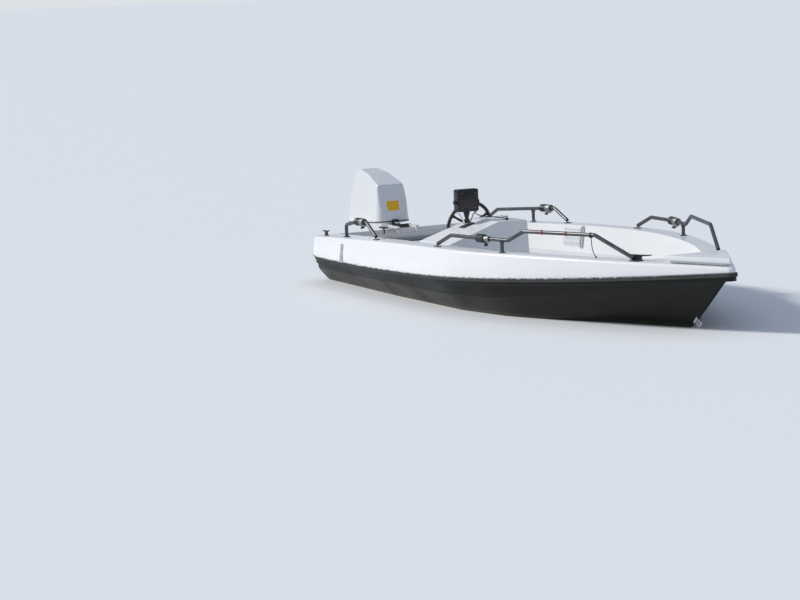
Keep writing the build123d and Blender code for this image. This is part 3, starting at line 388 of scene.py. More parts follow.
ROLL_HEIGHT, ROLL_DEPTH = 0.080, 0.012
FRAMES, FIRST_FRAME, FRAME_STEP = 50, -2.36, 0.09
LEVELS, LEVEL_TOP, LEVEL_FOOT = 20, 0.105, 0.0005
NOSE_AT, STERN_AT, QUARTER_AT = 2.0, -2.40, -2.2    # past these the ends and corners count as outer side
deck = mesh_copy("deck_shell", "deck_moulding")
bpy.ops.object.mode_set(mode='EDIT')
for k in range(FRAMES):
    cut((FIRST_FRAME + FRAME_STEP * k, 0, 0), (1, 0, 0), 0.00005)
bpy.ops.object.mode_set(mode='OBJECT')
for vertex in deck.data.vertices:       # laid level along the rub line, so that the cuts run with it
    vertex.co.z -= rub_line(vertex.co.x)
bpy.ops.object.mode_set(mode='EDIT')
for k in range(LEVELS):
    cut((0, 0, LEVEL_FOOT + LEVEL_TOP * (k / (LEVELS - 1)) ** 1.3), (0, 0, 1), 0.00005)
bpy.ops.object.mode_set(mode='OBJECT')
for vertex in deck.data.vertices:
    vertex.co.z += rub_line(vertex.co.x)
for vertex in deck.data.vertices:
    x, y, z = vertex.co
    over = z - rub_line(x)
    side = half_beam(min(x, NOSE[0] - 0.002))
    outer = (abs(y) > side - 0.05 and x < NOSE_AT) or x > NOSE_AT or x < STERN_AT \
        or (x < QUARTER_AT and abs(y) > side - 0.09)
    room = min(1.0, (height_of(SHEER, x) - height_of(RUB, x)) / 0.16)
    deep, high = ROLL_DEPTH * room, ROLL_HEIGHT * room
    if outer and -0.012 < over < high and abs(vertex.normal.z) < 0.96:
        push = deep * (1 - max(over, 0.0) / high) ** 2
        way = Vector((vertex.normal.x, vertex.normal.y, 0))
        if way.length > 0.3 and way.dot(Vector((0.35 * x, y, 0))) > 0:
            vertex.co -= way.normalized() * push
bpy.ops.object.shade_smooth_by_angle(angle=radians(28))
dress(deck, "hull", "gelcoat_white", gelcoat_white, "deck_moulding")

# Nodes that keep their CAD form and take only a finish: fittings whose solids are already the real shape.
rail_dark = finish("rail_dark", (0.085, 0.090, 0.096), (0.16, 0.16, 0.16), 0.3, 9.0, 0.26, 0.42, metal=0.72,
                   grain_scale=600.0, depth=0.0001, scuff=0.22, scuff_colour=(0.32, 0.32, 0.33),
                   scuff_way=(1, 6, 6))
steel_bright = finish("steel_bright", (0.62, 0.63, 0.64), (0.40, 0.38, 0.35), 0.3, 16.0, 0.18, 0.36,
                      metal=1.0,
                      grain_scale=500.0, stretch=(1, 12, 12), depth=0.0001)
pale_plate = finish("pale_plate", (0.46, 0.49, 0.52), (0.34, 0.33, 0.31), 0.35, 12.0, 0.3, 0.5, metal=0.5,
                    grain_scale=500.0, stretch=(10, 1, 1), depth=0.00015)
cushion_grey = finish("cushion_grey", (0.27, 0.28, 0.30), (0.16, 0.155, 0.15), 0.35, 7.0, 0.48, 0.66,
                      grain_scale=850.0, waviness=0.5, depth=0.0005)
cowl_silver = finish("cowl_silver", (0.74, 0.755, 0.77), (0.60, 0.60, 0.59), 0.12, 3.0, 0.22, 0.34,
                     metal=0.12,
                     coat=0.6, grain_scale=1500.0, waviness=0.8, depth=0.00006, scuff=0.10,
                     scuff_colour=(0.50, 0.50, 0.50), bands=((-0.1, 0.004, 0.02, 0.6, (0.12, 0.13, 0.09)),))
engine_alloy = finish("engine_alloy", (0.30, 0.31, 0.32), (0.12, 0.115, 0.11), 0.6, 10.0, 0.40, 0.66,
                      metal=0.8,
                      grain_scale=260.0, depth=0.0008)
prop_dark = finish("prop_dark", (0.030, 0.031, 0.033), (0.12, 0.12, 0.11), 0.5, 9.0, 0.28, 0.5, metal=0.3,
                   grain_scale=500.0, depth=0.0002, scuff=0.4, scuff_colour=(0.34, 0.34, 0.33))
finishes = {"hull_graphite": hull_graphite, "gelcoat_white": gelcoat_white, "liner_pale": liner_pale,
            "rubber_black": rubber_black, "rail_dark": rail_dark, "steel_bright": steel_bright,
            "plastic_black": plastic_black, "cushion_grey": cushion_grey, "cowl_silver": cowl_silver,
            "engine_alloy": engine_alloy, "prop_dark": prop_dark, "pale_plate": pale_plate}
for row in frame["record"]["subparts"]:
    kept = nodes[row["node"]]
    kept.data.materials.clear()
    kept.data.materials.append(finishes[row["material_slot"]])


# Outboard cowl. The upper cover is one moulded shell in silver metallic paint, wide at the pan and drawn
# in to a sloping crown; two latches draw it down on a black rubber seam. Its front carries a blank yellow
# plate.
def start():
    bpy.ops.object.select_all(action='DESELECT')


def edit():
    bpy.ops.object.mode_set(mode='EDIT')


def done():
    bpy.ops.object.mode_set(mode='OBJECT')


def pick(piece, kind, test):
    """Selects the vertices, edges or faces that pass a test, and leaves the piece in edit mode."""
    bpy.ops.object.mode_set(mode='EDIT')
    bpy.ops.mesh.select_mode(type=kind)
    mesh = bmesh.from_edit_mesh(piece.data)
    for item in {'VERT': mesh.verts, 'EDGE': mesh.edges, 'FACE': mesh.faces}[kind]:
        if kind == 'VERT':
            item.select_set(test(item.co, item.normal))
        elif kind == 'EDGE':
            item.select_set(test(*(v.co for v in item.verts)))
        else:
            item.select_set(test(item.calc_center_median(), item.normal))
    mesh.select_flush_mode()
    bmesh.update_edit_mesh(piece.data)


def laid():
    """The piece just made, its place and size set into its mesh."""
    bpy.ops.object.transform_apply(location=True, rotation=True, scale=True)
    return bpy.context.object


def draw_out(step):
    """Extrudes the selected faces by a step."""
    bpy.ops.mesh.extrude_region_move(TRANSFORM_OT_translate={"value": step})


def applied(piece, kind, **settings):
    """Adds a modifier with its settings and applies it."""
    done()
    made = piece.modifiers.new("shape", kind)
    for key, value in settings.items():
        setattr(made, key, value)
    bpy.ops.object.modifier_apply(modifier="shape")


def ease(piece, width, segments, angle):
    """Rounds the edges that turn more than an angle in degrees."""
    applied(piece, 'BEVEL', width=width, segments=segments, angle_limit=radians(angle))


def join(pieces):
    """Joins like pieces into the first."""
    start()
    for piece in pieces:
        piece.select_set(True)
    bpy.context.view_layer.objects.active = pieces[0]
    bpy.ops.object.join()


def settle(name, angle=35):
    """Ends a piece: names it, sets its place into its mesh and smooths it."""
    piece = bpy.context.object
    if piece.mode == 'EDIT':
        bpy.ops.object.mode_set(mode='OBJECT')
    bpy.ops.object.transform_apply(location=True, rotation=True, scale=True)
    piece.name = piece.data.name = name
    bpy.ops.object.shade_smooth_by_angle(angle=radians(angle))
    return piece


def copy_of(piece, name, move=(0, 0, 0), turn_by=None, about=(0, 0, 0)):
    """A copy with its own mesh, turned about a point and moved."""
    made = bpy.data.objects.new(name, piece.data.copy())
    scene.collection.objects.link(made)
    step = Matrix.Translation(Vector(move) + Vector(about)) @ (turn_by or Matrix.Identity(4)) @ \
        Matrix.Translation(-Vector(about))
    made.data.transform(step)
    return made


COWL_FWD, COWL_AFT, COWL_W, COWL_Z = -2.530, -3.118, 0.310, 0.395
COWL_MID, COWL_LEN = (COWL_FWD + COWL_AFT) / 2, COWL_FWD - COWL_AFT
COWL_SIDE = [(COWL_FWD + 0.001, 0.440), (COWL_FWD - 0.064, 0.676), (COWL_FWD - 0.270, 0.754),
             (COWL_FWD - 0.440, 0.786), (COWL_FWD - 0.505, 0.770), (COWL_AFT + 0.036, 0.706),
             (COWL_AFT + 0.002, 0.470)]
SEAM_TILT = Vector((-0.058, 0, 1)).normalized()     # the seam's plane falls a little towards the stern
SEAM_FRONT = Vector((COWL_FWD, 0, COWL_Z))
SEAM_T, SKIRT = 0.008, 0.110


def cowl_block(name, low, high, side, draw_in):
    """A rounded block between two heights, drawn in towards the top and cut to a side outline."""
    start()
    bpy.ops.mesh.primitive_cube_add(size=1, location=(COWL_MID, 0, (low + high) / 2),
                                    scale=(COWL_LEN, COWL_W, high - low))
    block = bpy.context.object
    block.name = name
    bpy.ops.object.transform_apply(location=True, rotation=True, scale=True)
    pick(block, 'EDGE', lambda a, b: abs(a.z - b.z) > (high - low) * 0.9)
    bpy.ops.mesh.bevel(offset=0.066, segments=8, affect='EDGES')
    pick(block, 'VERT', lambda p, n: p.z > (low + high) / 2)
    bpy.ops.transform.resize(value=((COWL_LEN - 0.02) / COWL_LEN, (COWL_W - draw_in) / COWL_W, 1),
                             center_override=(COWL_MID, 0, high))
    for (x0, z0), (x1, z1) in zip(side, side[1:]):
        cut((x0, 0, z0), (z0 - z1, 0, x1 - x0), 0.0001, use_fill=True, clear_inner=True)
    bpy.ops.mesh.select_all(action='SELECT')
    bpy.ops.mesh.normals_make_consistent(inside=False)
    done()
    return block


cowl = cowl_block("cowl", COWL_Z - SKIRT, COWL_Z + 0.400, COWL_SIDE, 0.088)
applied(cowl, 'REMESH', mode='VOXEL', voxel_size=0.0065)
applied(cowl, 'SMOOTH', factor=0.6, iterations=26)
for vertex in cowl.data.vertices:       # the crown narrows towards the stern
    aft = min(1.0, max(0.0, (COWL_FWD - vertex.co.x) / COWL_LEN))
    up = min(1.0, max(0.0, (vertex.co.z - COWL_Z) / 0.39))
    vertex.co.y *= 1 - 0.38 * aft * up ** 1.6
pan = bpy.data.objects.new("pan", cowl.data.copy())
scene.collection.objects.link(pan)
seam = bpy.data.objects.new("seam", cowl.data.copy())
scene.collection.objects.link(seam)


def slice_of(piece, top, foot):
    """Keeps the piece's skin between two distances below the seam's top, along the seam's tilt."""
    start()
    piece.select_set(True)
    bpy.context.view_layer.objects.active = piece
    edit()
    cut(SEAM_FRONT - SEAM_TILT * foot, SEAM_TILT, 0.0001, clear_inner=True)
    if top is not None:
        cut(SEAM_FRONT - SEAM_TILT * top, SEAM_TILT, 0.0001, clear_outer=True)
    done()


def walled(piece, thickness, offset, name):
    """Gives the skin a wall and ends the piece: names it, sets its place into its mesh and smooths it."""
    applied(piece, 'SOLIDIFY', thickness=thickness, offset=offset)
    return settle(name, 40)


slice_of(cowl, None, 0.0)
cowl = walled(cowl, 0.005, -1.0, "cowl_cover")
dress(cowl, "outboard", "cowl_silver", cowl_silver, "cowl_upper")
slice_of(seam, -0.0005, SEAM_T)
seam = walled(seam, 0.010, -0.72, "cowl_seam_strip")
dress(seam, "outboard", "plastic_black", rubber_black, "cowl_seam")

# Lower pan of the cowl: a cast tray under the seam, drawn in towards its foot and closed below.
slice_of(pan, SEAM_T, 0.017)
for part_of, drawn in ((0.009, 0.992), (0.013, 0.978), (0.0165, 0.955)):
    pick(pan, 'VERT', lambda p, n: (p - SEAM_FRONT).dot(SEAM_TILT) < -part_of)
    bpy.ops.transform.resize(value=(drawn, drawn, 1), center_override=(COWL_MID + 0.05, 0, COWL_Z))
pick(pan, 'EDGE', lambda a, b: all((p - SEAM_FRONT).dot(SEAM_TILT) < -0.0166 for p in (a, b)))
bpy.ops.mesh.edge_face_add()
done()
pan = walled(pan, 0.006, -1.0, "cowl_pan")
dress(pan, "outboard", "cowl_silver", cowl_silver, "cowl_lower")

# Blank yellow plate on the cowl's front, and the two hand latches that draw the cover down on the seam.
plate_yellow = finish("plate_yellow", (0.90, 0.50, 0.006), (0.62, 0.30, 0.02), 0.22, 26.0, 0.32, 0.5,
                      grain_scale=700.0, depth=0.0001)
PLATE_AT, PLATE_SIZE = Vector((COWL_FWD - 0.0205, -0.006, 0.512)), (0.005, 0.104, 0.076)
FRONT_LEAN = atan2(0.064, 0.236)
start()
bpy.ops.mesh.primitive_cube_add(size=1, location=PLATE_AT, scale=PLATE_SIZE, rotation=(0, -FRONT_LEAN, 0))
plate = laid()
pick(plate, 'EDGE', lambda a, b: abs(a.x - b.x) > 0.003 and abs(a.z - b.z) < 0.003)
bpy.ops.mesh.bevel(offset=0.006, segments=4, affect='EDGES')
pick(plate, 'FACE', lambda p, n: n.x > 0.9)
bpy.ops.mesh.inset(thickness=0.0022, depth=0)
bpy.ops.mesh.inset(thickness=0.0008, depth=-0.0006)
plate = dress(settle("cowl_plate"), "outboard", "pale_plate", plate_yellow)

start()
bpy.ops.mesh.primitive_cube_add(size=1, location=(COWL_FWD - 0.002, 0, COWL_Z - 0.006),
                                scale=(0.016, 0.056, 0.034))
latch = laid()
pick(latch, 'EDGE', lambda a, b: abs(a.y - b.y) > 0.03)
bpy.ops.mesh.bevel(offset=0.006, segments=3, affect='EDGES')
pick(latch, 'FACE', lambda p, n: n.x > 0.9)
bpy.ops.mesh.inset(thickness=0.005, depth=0)
draw_out((-0.005, 0, 0))
latch = dress(settle("cowl_latch_fwd"), "outboard", "plastic_black", plastic_black)
aft_latch = copy_of(latch, "cowl_latch_aft", (0.010, 0, -0.033), Matrix.Rotation(pi, 4, 'Z'),
                    (COWL_MID, 0, 0))
dress(aft_latch, "outboard", "plastic_black", plastic_black)

# Steering wheel. A 34 cm wheel with a soft black rim moulded round a steel ring, three pressed spokes and
# a domed hub cap, on the raked aft face of the console.
WHEEL_AT = Vector((-0.93380, -0.200, 0.48481))
HELM_RAKE = 11.92        # lean of the console's aft face, degrees
WHEEL_LEAN = Euler((0, radians(HELM_RAKE) - pi / 2, 0))
WHEEL_R, RIM_R = 0.170, 0.013


def on_wheel(x, y, z):
    """A point given across, up and out of the wheel's plane."""
    face = WHEEL_LEAN.to_matrix()
    return WHEEL_AT + face @ Vector((y, -x, z))


start()
bpy.ops.mesh.primitive_torus_add(location=WHEEL_AT, rotation=WHEEL_LEAN, major_segments=96, minor_segments=16,
                                 major_radius=WHEEL_R, minor_radius=RIM_R)
rim = laid()
face_up = (WHEEL_LEAN.to_matrix() @ Vector((0, 0, 1))).normalized()


def under_finger(place, normal):
    """True at the finger grooves moulded into the back of the rim."""
    arm = place - WHEEL_AT
    angle = atan2(arm.y, arm.z)
    return (angle * 24 / pi) % 2 < 1 and normal.dot(face_up) < -0.25


pick(rim, 'VERT', under_finger)
bpy.ops.transform.shrink_fatten(value=-0.0016)
rim = dress(settle("wheel_rim", 60), "steering_wheel", "plastic_black", plastic_black, "steering_wheel")

start()
bpy.ops.mesh.primitive_cylinder_add(vertices=48, radius=0.033, depth=0.028, location=on_wheel(0, 0, -0.001),
                                    rotation=WHEEL_LEAN)
hub = laid()
pick(hub, 'FACE', lambda p, n: n.dot(face_up) > 0.9)
bpy.ops.mesh.inset(thickness=0.004, depth=0)
draw_out(face_up * 0.004)
bpy.ops.mesh.inset(thickness=0.009, depth=0.003)
bpy.ops.mesh.inset(thickness=0.009, depth=0.0015)
hub = dress(settle("wheel_hub", 50), "steering_wheel", "plastic_black", plastic_black)

start()
bpy.ops.mesh.primitive_cube_add(size=1, location=(0.092, 0, 0), scale=(0.138, 0.026, 0.006))
spoke = laid()
edit()
bpy.ops.mesh.select_all(action='SELECT')
bpy.ops.mesh.subdivide(number_cuts=5)
pick(spoke, 'VERT', lambda p, n: 0.05 < p.x < 0.14)
bpy.ops.transform.resize(value=(1, 0.66, 1), center_override=(0, 0, 0))
pick(spoke, 'FACE', lambda p, n: n.z > 0.9 and 0.06 < p.x < 0.13 and abs(p.y) < 0.006)
bpy.ops.mesh.inset(thickness=0.001, depth=-0.0016)
ease(spoke, 0.0012, 2, 50)
spoke.data.transform(Matrix.Translation(WHEEL_AT) @ WHEEL_LEAN.to_matrix().to_4x4()
                     @ Matrix.Rotation(radians(180), 4, 'Z'))
spoke = dress(settle("wheel_spoke_1"), "steering_wheel", "plastic_black", plastic_black)
for k in (1, 2):
    more = copy_of(spoke, "wheel_spoke_%d" % (k + 1), turn_by=Matrix.Rotation(radians(120 * k), 4, face_up),
                   about=WHEEL_AT)
    dress(more, "steering_wheel", "plastic_black", plastic_black)

# Bench cushion. Grey vinyl over foam, boxed with a welt round its top and bottom, laid on the bench lid.
# It is the CAD block a little smaller, remeshed and blown up as cloth until its faces crown and its
# corners draw in.
low, high = (Vector(p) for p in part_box("bench_cushion"))
start()
size = high - low
bpy.ops.mesh.primitive_cube_add(size=1, location=(low + high) / 2,
                                scale=(size.x - 0.012, size.y - 0.014, size.z - 0.010))
cushion = laid()
pick(cushion, 'EDGE', lambda a, b: True)
bpy.ops.mesh.bevel(offset=0.008, segments=3, affect='EDGES')
done()
applied(cushion, 'REMESH', mode='VOXEL', voxel_size=0.0085)
before = [v.co.copy() for v in cushion.data.vertices]
fill = cushion.modifiers.new("fill", 'CLOTH')
fill.settings.quality = 4
fill.settings.use_pressure = True
fill.settings.uniform_pressure_force = 4.0
fill.settings.tension_stiffness = fill.settings.compression_stiffness = 30.0
fill.settings.effector_weights.gravity = 0.0
fill.collision_settings.use_collision = False
fill.point_cache.frame_start, fill.point_cache.frame_end = 1, 20
for f in range(1, 21):
    scene.frame_set(f)
bpy.ops.object.modifier_apply(modifier="fill")
scene.frame_set(1)
for was, vertex in zip(before, cushion.data.vertices):
    step = vertex.co - was
    step.length = min(step.length, 0.010)
    if was.z < low.z + 0.008:
        step *= 0.15
    vertex.co = was + step
    vertex.co.z = max(vertex.co.z, low.z)
cushion = settle("seat_cushion", 60)
dress(cushion, "hull", "cushion_grey", cushion_grey, "bench_cushion")

welt_curve = bpy.data.curves.new("cushion_welt", 'CURVE')
welt_curve.dimensions = '3D'
welt_line = welt_curve.splines.new('NURBS')
WELT_IN = 0.006
corners = []
for sx, sy in ((1, 1), (-1, 1), (-1, -1), (1, -1)):
    mid = (low + high) / 2
    half = Vector((size.x / 2 - WELT_IN, size.y / 2 - WELT_IN, 0))
    at = Vector((mid.x + sx * half.x, mid.y + sy * half.y, high.z - 0.009))
    ins = [(0, -sy * 0.03, 0), (0, 0, 0), (-sx * 0.03, 0, 0)]
    corners += [at + Vector(i) for i in (ins if sx * sy < 0 else ins[::-1])]
welt_line.points.add(len(corners) - 1)
for point, place in zip(welt_line.points, corners):
    point.co = (*place, 1)
welt_line.use_cyclic_u = True
welt_line.order_u = 3
welt_line.resolution_u = 6
welt_curve.bevel_depth = 0.0028
welt_curve.bevel_resolution = 3
welt = bpy.data.objects.new("cushion_welt", welt_curve)
scene.collection.objects.link(welt)
dress(welt, "hull", "cushion_grey", cushion_grey)

# Propeller. Three cast blades in dark paint, each twisted along its length and thinned to the tip, on a
# hub with an exhaust opening, a washer and a nut.
HUB_X0, HUB_X1, PROP_Z = -2.8025, -2.8745, -0.305
start()
bpy.ops.mesh.primitive_cylinder_add(vertices=48, radius=0.029, depth=HUB_X0 - HUB_X1,
                                    location=((HUB_X0 + HUB_X1) / 2, 0, PROP_Z), rotation=(0, pi / 2, 0))
prop_hub = laid()
pick(prop_hub, 'FACE', lambda p, n: n.x < -0.9)
bpy.ops.mesh.inset(thickness=0.0035, depth=0)
draw_out((0.020, 0, 0))
bpy.ops.mesh.inset(thickness=0.010, depth=0)
draw_out((-0.026, 0, 0))
bpy.ops.mesh.inset(thickness=0.004, depth=0)
draw_out((-0.008, 0, 0))
prop_hub = dress(settle("prop_hub"), "propeller", "prop_dark", prop_dark, "propeller")

start()
bpy.ops.mesh.primitive_grid_add(x_subdivisions=10, y_subdivisions=12, size=1)
blade = bpy.context.object
BLADE_IN, BLADE_OUT = 0.024, 0.110
for vertex in blade.data.vertices:
    across, out = vertex.co.x * 2, vertex.co.y + 0.5
    reach = BLADE_IN + (BLADE_OUT - BLADE_IN) * out
    chord = 0.030 + 0.052 * sin(pi * min(1.0, 0.18 + 0.62 * out)) - 0.030 * max(0.0, out - 0.72) / 0.28
    reach -= 0.024 * (abs(across) ** 3) * out
    pitch = atan2(0.036, max(reach, 0.03)) + radians(8)
    slide = across * chord / 2 + 0.010 * out
    bow = 0.004 * (1 - across * across)
    vertex.co = (slide * sin(pitch) * 0.95 + bow, slide * cos(pitch), reach)
applied(blade, 'SOLIDIFY', thickness=0.0045, offset=0.0)
applied(blade, 'SUBSURF', levels=1, render_levels=1)
blade.data.transform(Matrix.Translation(((HUB_X0 + HUB_X1) / 2 - 0.002, 0, PROP_Z)))
blade = dress(settle("prop_blade_1", 60), "propeller", "prop_dark", prop_dark)
for k in (1, 2):
    more = copy_of(blade, "prop_blade_%d" % (k + 1), turn_by=Matrix.Rotation(radians(120 * k), 4, 'X'),
                   about=(0, 0, PROP_Z))
    dress(more, "propeller", "prop_dark", prop_dark)

# Side rails' fittings. Each rail stands on short tube posts with round flanges screwed to the gunwale,
# and carries one split clamp: a ribbed barrel round the tube, black at one end and bare alloy at the
# other, with a hand knob.
def edge_y(x, inset):
    """Half beam at the gunwale's top, a distance inboard of its outer edge."""
    return half_beam(x) + 0.013 - (height_of(SHEER, x) - height_of(RUB, x)) * tan(radians(8)) - inset


def rail_at(x, side, height, inset=0.062):
    """A point on a rail's centre line."""
    return Vector((x, side * edge_y(x, inset), height_of(SHEER, x) + height))


alloy_worn = finish("alloy_worn", (0.30, 0.305, 0.30), (0.12, 0.115, 0.105), 0.55, 24.0, 0.35, 0.6,
                    metal=0.65, grain_scale=420.0, depth=0.0004)
CLAMP_L, CLAMP_R, CLAMP_ROLL = 0.060, 0.0265, 12
start()
bpy.ops.mesh.primitive_cylinder_add(vertices=40, radius=CLAMP_R, depth=CLAMP_L, rotation=(0, pi / 2, 0),
                                    location=(-CLAMP_L / 2, 0, 0))
barrel = laid()
edit()
for k in range(1, 10):
    cut((-CLAMP_L * k / 10, 0, 0), (1, 0, 0))
for k in range(1, 10, 2):
    pick(barrel, 'VERT', lambda p, n: abs(p.x + CLAMP_L * k / 10) < 0.0005)
    bpy.ops.transform.resize(value=(1, 0.90, 0.90), center_override=(0, 0, 0))
pick(barrel, 'FACE', lambda p, n: abs(n.x) > 0.9)
bpy.ops.mesh.inset(thickness=0.004, depth=0.002)
bpy.ops.mesh.inset(thickness=0.009, depth=0.0)
bpy.ops.mesh.inset(thickness=0.0002, depth=-0.006)
ease(barrel, 0.001, 2, 40)
barrel_black = settle("clamp_barrel_black")

start()
bpy.ops.mesh.primitive_cylinder_add(vertices=36, radius=0.0235, depth=0.052, rotation=(0, pi / 2, 0),
                                    location=(0.026, 0, 0))
sleeve = laid()
pick(sleeve, 'FACE', lambda p, n: n.x > 0.9)
bpy.ops.mesh.inset(thickness=0.002, depth=0.003)
bpy.ops.mesh.inset(thickness=0.006, depth=-0.004)
pick(sleeve, 'FACE', lambda p, n: n.z < -0.7 and abs(n.x) < 0.2 and 0.0 < p.x < 0.05)
draw_out((0, 0, -0.010))
bpy.ops.transform.resize(value=(0.7, 0.7, 1), center_override=(0.026, 0, -0.03))
sleeve = settle("clamp_sleeve")

start()
bpy.ops.mesh.primitive_cylinder_add(vertices=24, radius=0.014, depth=0.012, location=(0.002, 0, -0.044))
knob = laid()
pick(knob, 'FACE', lambda p, n: abs(n.z) < 0.2 and int(round(atan2(p.y, p.x - 0.002) * 12 / pi)) % 4 == 0)
bpy.ops.transform.resize(value=(0.84, 0.84, 1), center_override=(0.002, 0, -0.044))
pick(knob, 'FACE', lambda p, n: n.z > 0.9)
bpy.ops.mesh.inset(thickness=0.008, depth=0)
draw_out((0, 0, 0.020))
ease(knob, 0.0012, 2, 40)
knob = settle("clamp_knob")

# which rail, stations of the clamp's ends, side, height of the rail's centre line over the gunwale
CLAMPS = [("mid_s", 0.245, 0.365, -1, 0.0857), ("mid_p", 0.245, 0.365, 1, 0.0857),
          ("quarter_s", -1.585, -1.470, -1, 0.120), ("quarter_p", -1.560, -1.450, 1, 0.1058)]
for label, x0, x1, side, rise in CLAMPS:
    a, b = rail_at(x0, side, rise), rail_at(x1, side, rise)
    way = (b - a).normalized().to_track_quat('X', 'Z').to_matrix().to_4x4()
    seat = Matrix.Translation((a + b) / 2) @ way @ Matrix.Rotation(radians(side * -CLAMP_ROLL), 4, 'X')
    for source, kind, finish_of, slot_of in ((barrel_black, "barrel", plastic_black, "plastic_black"),
                                             (sleeve, "sleeve", alloy_worn, "engine_alloy"),
                                             (knob, "knob", plastic_black, "plastic_black")):
        made = copy_of(source, "clamp_%s_%s" % (kind, label))
        if label == "mid_s" and kind == "sleeve":
            made.data.transform(Matrix.Diagonal((0.8, 0.72, 0.72, 1)))
        grown = 1.12 if kind != "knob" else 1.0
        made.data.transform(seat @ Matrix.Diagonal((grown, grown, grown, 1)))
        dress(made, "hull", slot_of, finish_of,
              *(["rail_clamps"] if label == "mid_s" and kind == "barrel" else []))
for source in (barrel_black, sleeve, knob):
    bpy.data.objects.remove(source)

# Posts under the rails. Black tube with a flange at each end, the lower one held to the gunwale by four
# screws. The rails' own feet have two screws each.
start()
bpy.ops.mesh.primitive_cylinder_add(vertices=32, radius=0.0125, depth=1.0, location=(0, 0, 0.5))
post = laid()
edit()
for level in (0.06, 0.075, 0.80, 0.83):
    cut((0, 0, level), (0, 0, 1))
pick(post, 'VERT', lambda p, n: p.z < 0.061)
bpy.ops.transform.resize(value=(1.9, 1.9, 1), center_override=(0, 0, 0))
pick(post, 'VERT', lambda p, n: p.z > 0.829)
bpy.ops.transform.resize(value=(1.25, 1.25, 1), center_override=(0, 0, 0))
post = settle("post")
start()
bpy.ops.mesh.primitive_uv_sphere_add(segments=12, ring_count=8, radius=0.0038)
screw = bpy.context.object
pick(screw, 'VERT', lambda p, n: p.z < -0.0005)
bpy.ops.mesh.delete(type='VERT')
pick(screw, 'VERT', lambda p, n: p.z > 0.0028)
bpy.ops.transform.translate(value=(0, 0, -0.0016))
screw = settle("screw", 50)

# which rail, station, side, height of the rail's centre line over the gunwale
POSTS = [("s", 0.470, -1, 0.0845), ("p", 0.470, 1, 0.0845), ("quarter", -1.700, 1, 0.1012)]
screw_seats = []
for label, x, side, rise in POSTS:
    foot = rail_at(x, side, 0.0)
    made = copy_of(post, "rail_post_" + label)
    made.data.transform(Matrix.Translation(foot) @ Matrix.Diagonal((1, 1, rise - 0.010, 1)))
    dress(made, "hull", "rail_dark", rail_dark, *(["rail_stanchions"] if label == "s" else []))
    screw_seats += [foot + Vector((0.0185 * cos(t), 0.0185 * sin(t), 0.0050)) for t in (0.8, 2.4, 3.9, 5.5)]
# station, side, distance inboard of the gunwale's edge
FEET = [(-0.268, -1, 0.062), (-0.268, 1, 0.062), (1.474, -1, 0.062), (1.474, 1, 0.062), (-1.808, -1, 0.062),
        (-1.256, -1, 0.062), (-1.216, 1, 0.062), (-2.361, 1, 0.074)]
for x, side, inset in FEET:
    foot = rail_at(x, side, 0.0055, inset)
    screw_seats += [foot + Vector((0, 0.017, 0)), foot - Vector((0, 0.017, 0))]
join([copy_of(screw, "rail_screw", place) for place in screw_seats])
dress(settle("rail_screws", 50), "hull", "steel_bright", steel_bright)

# Cable ties. Two faded red plastic ties drawn tight round the starboard rail, their tails cut off short.
tie_red = finish("tie_red", (0.62, 0.045, 0.055), (0.40, 0.10, 0.10), 0.4, 40.0, 0.4, 0.6, grain_scale=900.0,
                 depth=0.0001)
for label, x in (("aft", 0.808), ("fwd", 0.994)):
    place, ahead = rail_at(x, -1, 0.1505), rail_at(x + 0.01, -1, 0.1505)
    start()
    bpy.ops.mesh.primitive_torus_add(major_segments=36, minor_segments=8, major_radius=0.0140,
                                     minor_radius=0.0022)
    tie = bpy.context.object
    pick(tie, 'VERT', lambda p, n: True)
    bpy.ops.transform.resize(value=(1, 1, 1.5), center_override=(0, 0, 0))
    pick(tie, 'FACE', lambda p, n: p.x > 0.012 and abs(p.y) < 0.004 and n.x > 0.3)
    draw_out((0.006, 0, 0))
    done()
    along_rail = (ahead - place).to_track_quat('Z', 'Y').to_matrix().to_4x4()
    tie.data.transform(Matrix.Translation(place) @ along_rail)
    dress(settle("rail_tie_" + label, 50), "hull", "rubber_black", tie_red)

# Lanyard's knots: a wrapped hitch round the rail and a stopper knot low on the cord.
hitch_at = Vector(LANYARD_ROUTE[0]) + Vector((0, 0, 0.0135))
for k, slide in enumerate((-0.004, 0.0, 0.004)):
    start()
    bpy.ops.mesh.primitive_torus_add(major_segments=36, minor_segments=8, major_radius=0.0148,
                                     minor_radius=0.0026)
    turn_of = bpy.context.object
    pick(turn_of, 'VERT', lambda p, n: p.y < -0.008)
    bpy.ops.transform.translate(value=(0.0012, -0.0006, slide))
    done()
    ahead = Vector((0.96, 0.26 + 0.05 * (k - 1), 0))
    turn_of.data.transform(Matrix.Translation(hitch_at + Vector((slide, 0, 0)))
                           @ ahead.to_track_quat('Z', 'Y').to_matrix().to_4x4())
    dress(settle("lanyard_hitch_%d" % (k + 1), 50), "hull", "plastic_black", lanyard_cord)
start()
bpy.ops.mesh.primitive_torus_add(major_segments=28, minor_segments=10, major_radius=0.0040,
                                 minor_radius=0.0034, location=LANYARD_ROUTE[-1],
                                 rotation=(radians(70), radians(15), 0))
stopper = laid()
pick(stopper, 'VERT', lambda p, n: p.x > LANYARD_ROUTE[-1][0])
bpy.ops.transform.translate(value=(0.0008, 0, 0.0016))
stopper = dress(settle("lanyard_stopper", 60), "hull", "plastic_black", lanyard_cord)

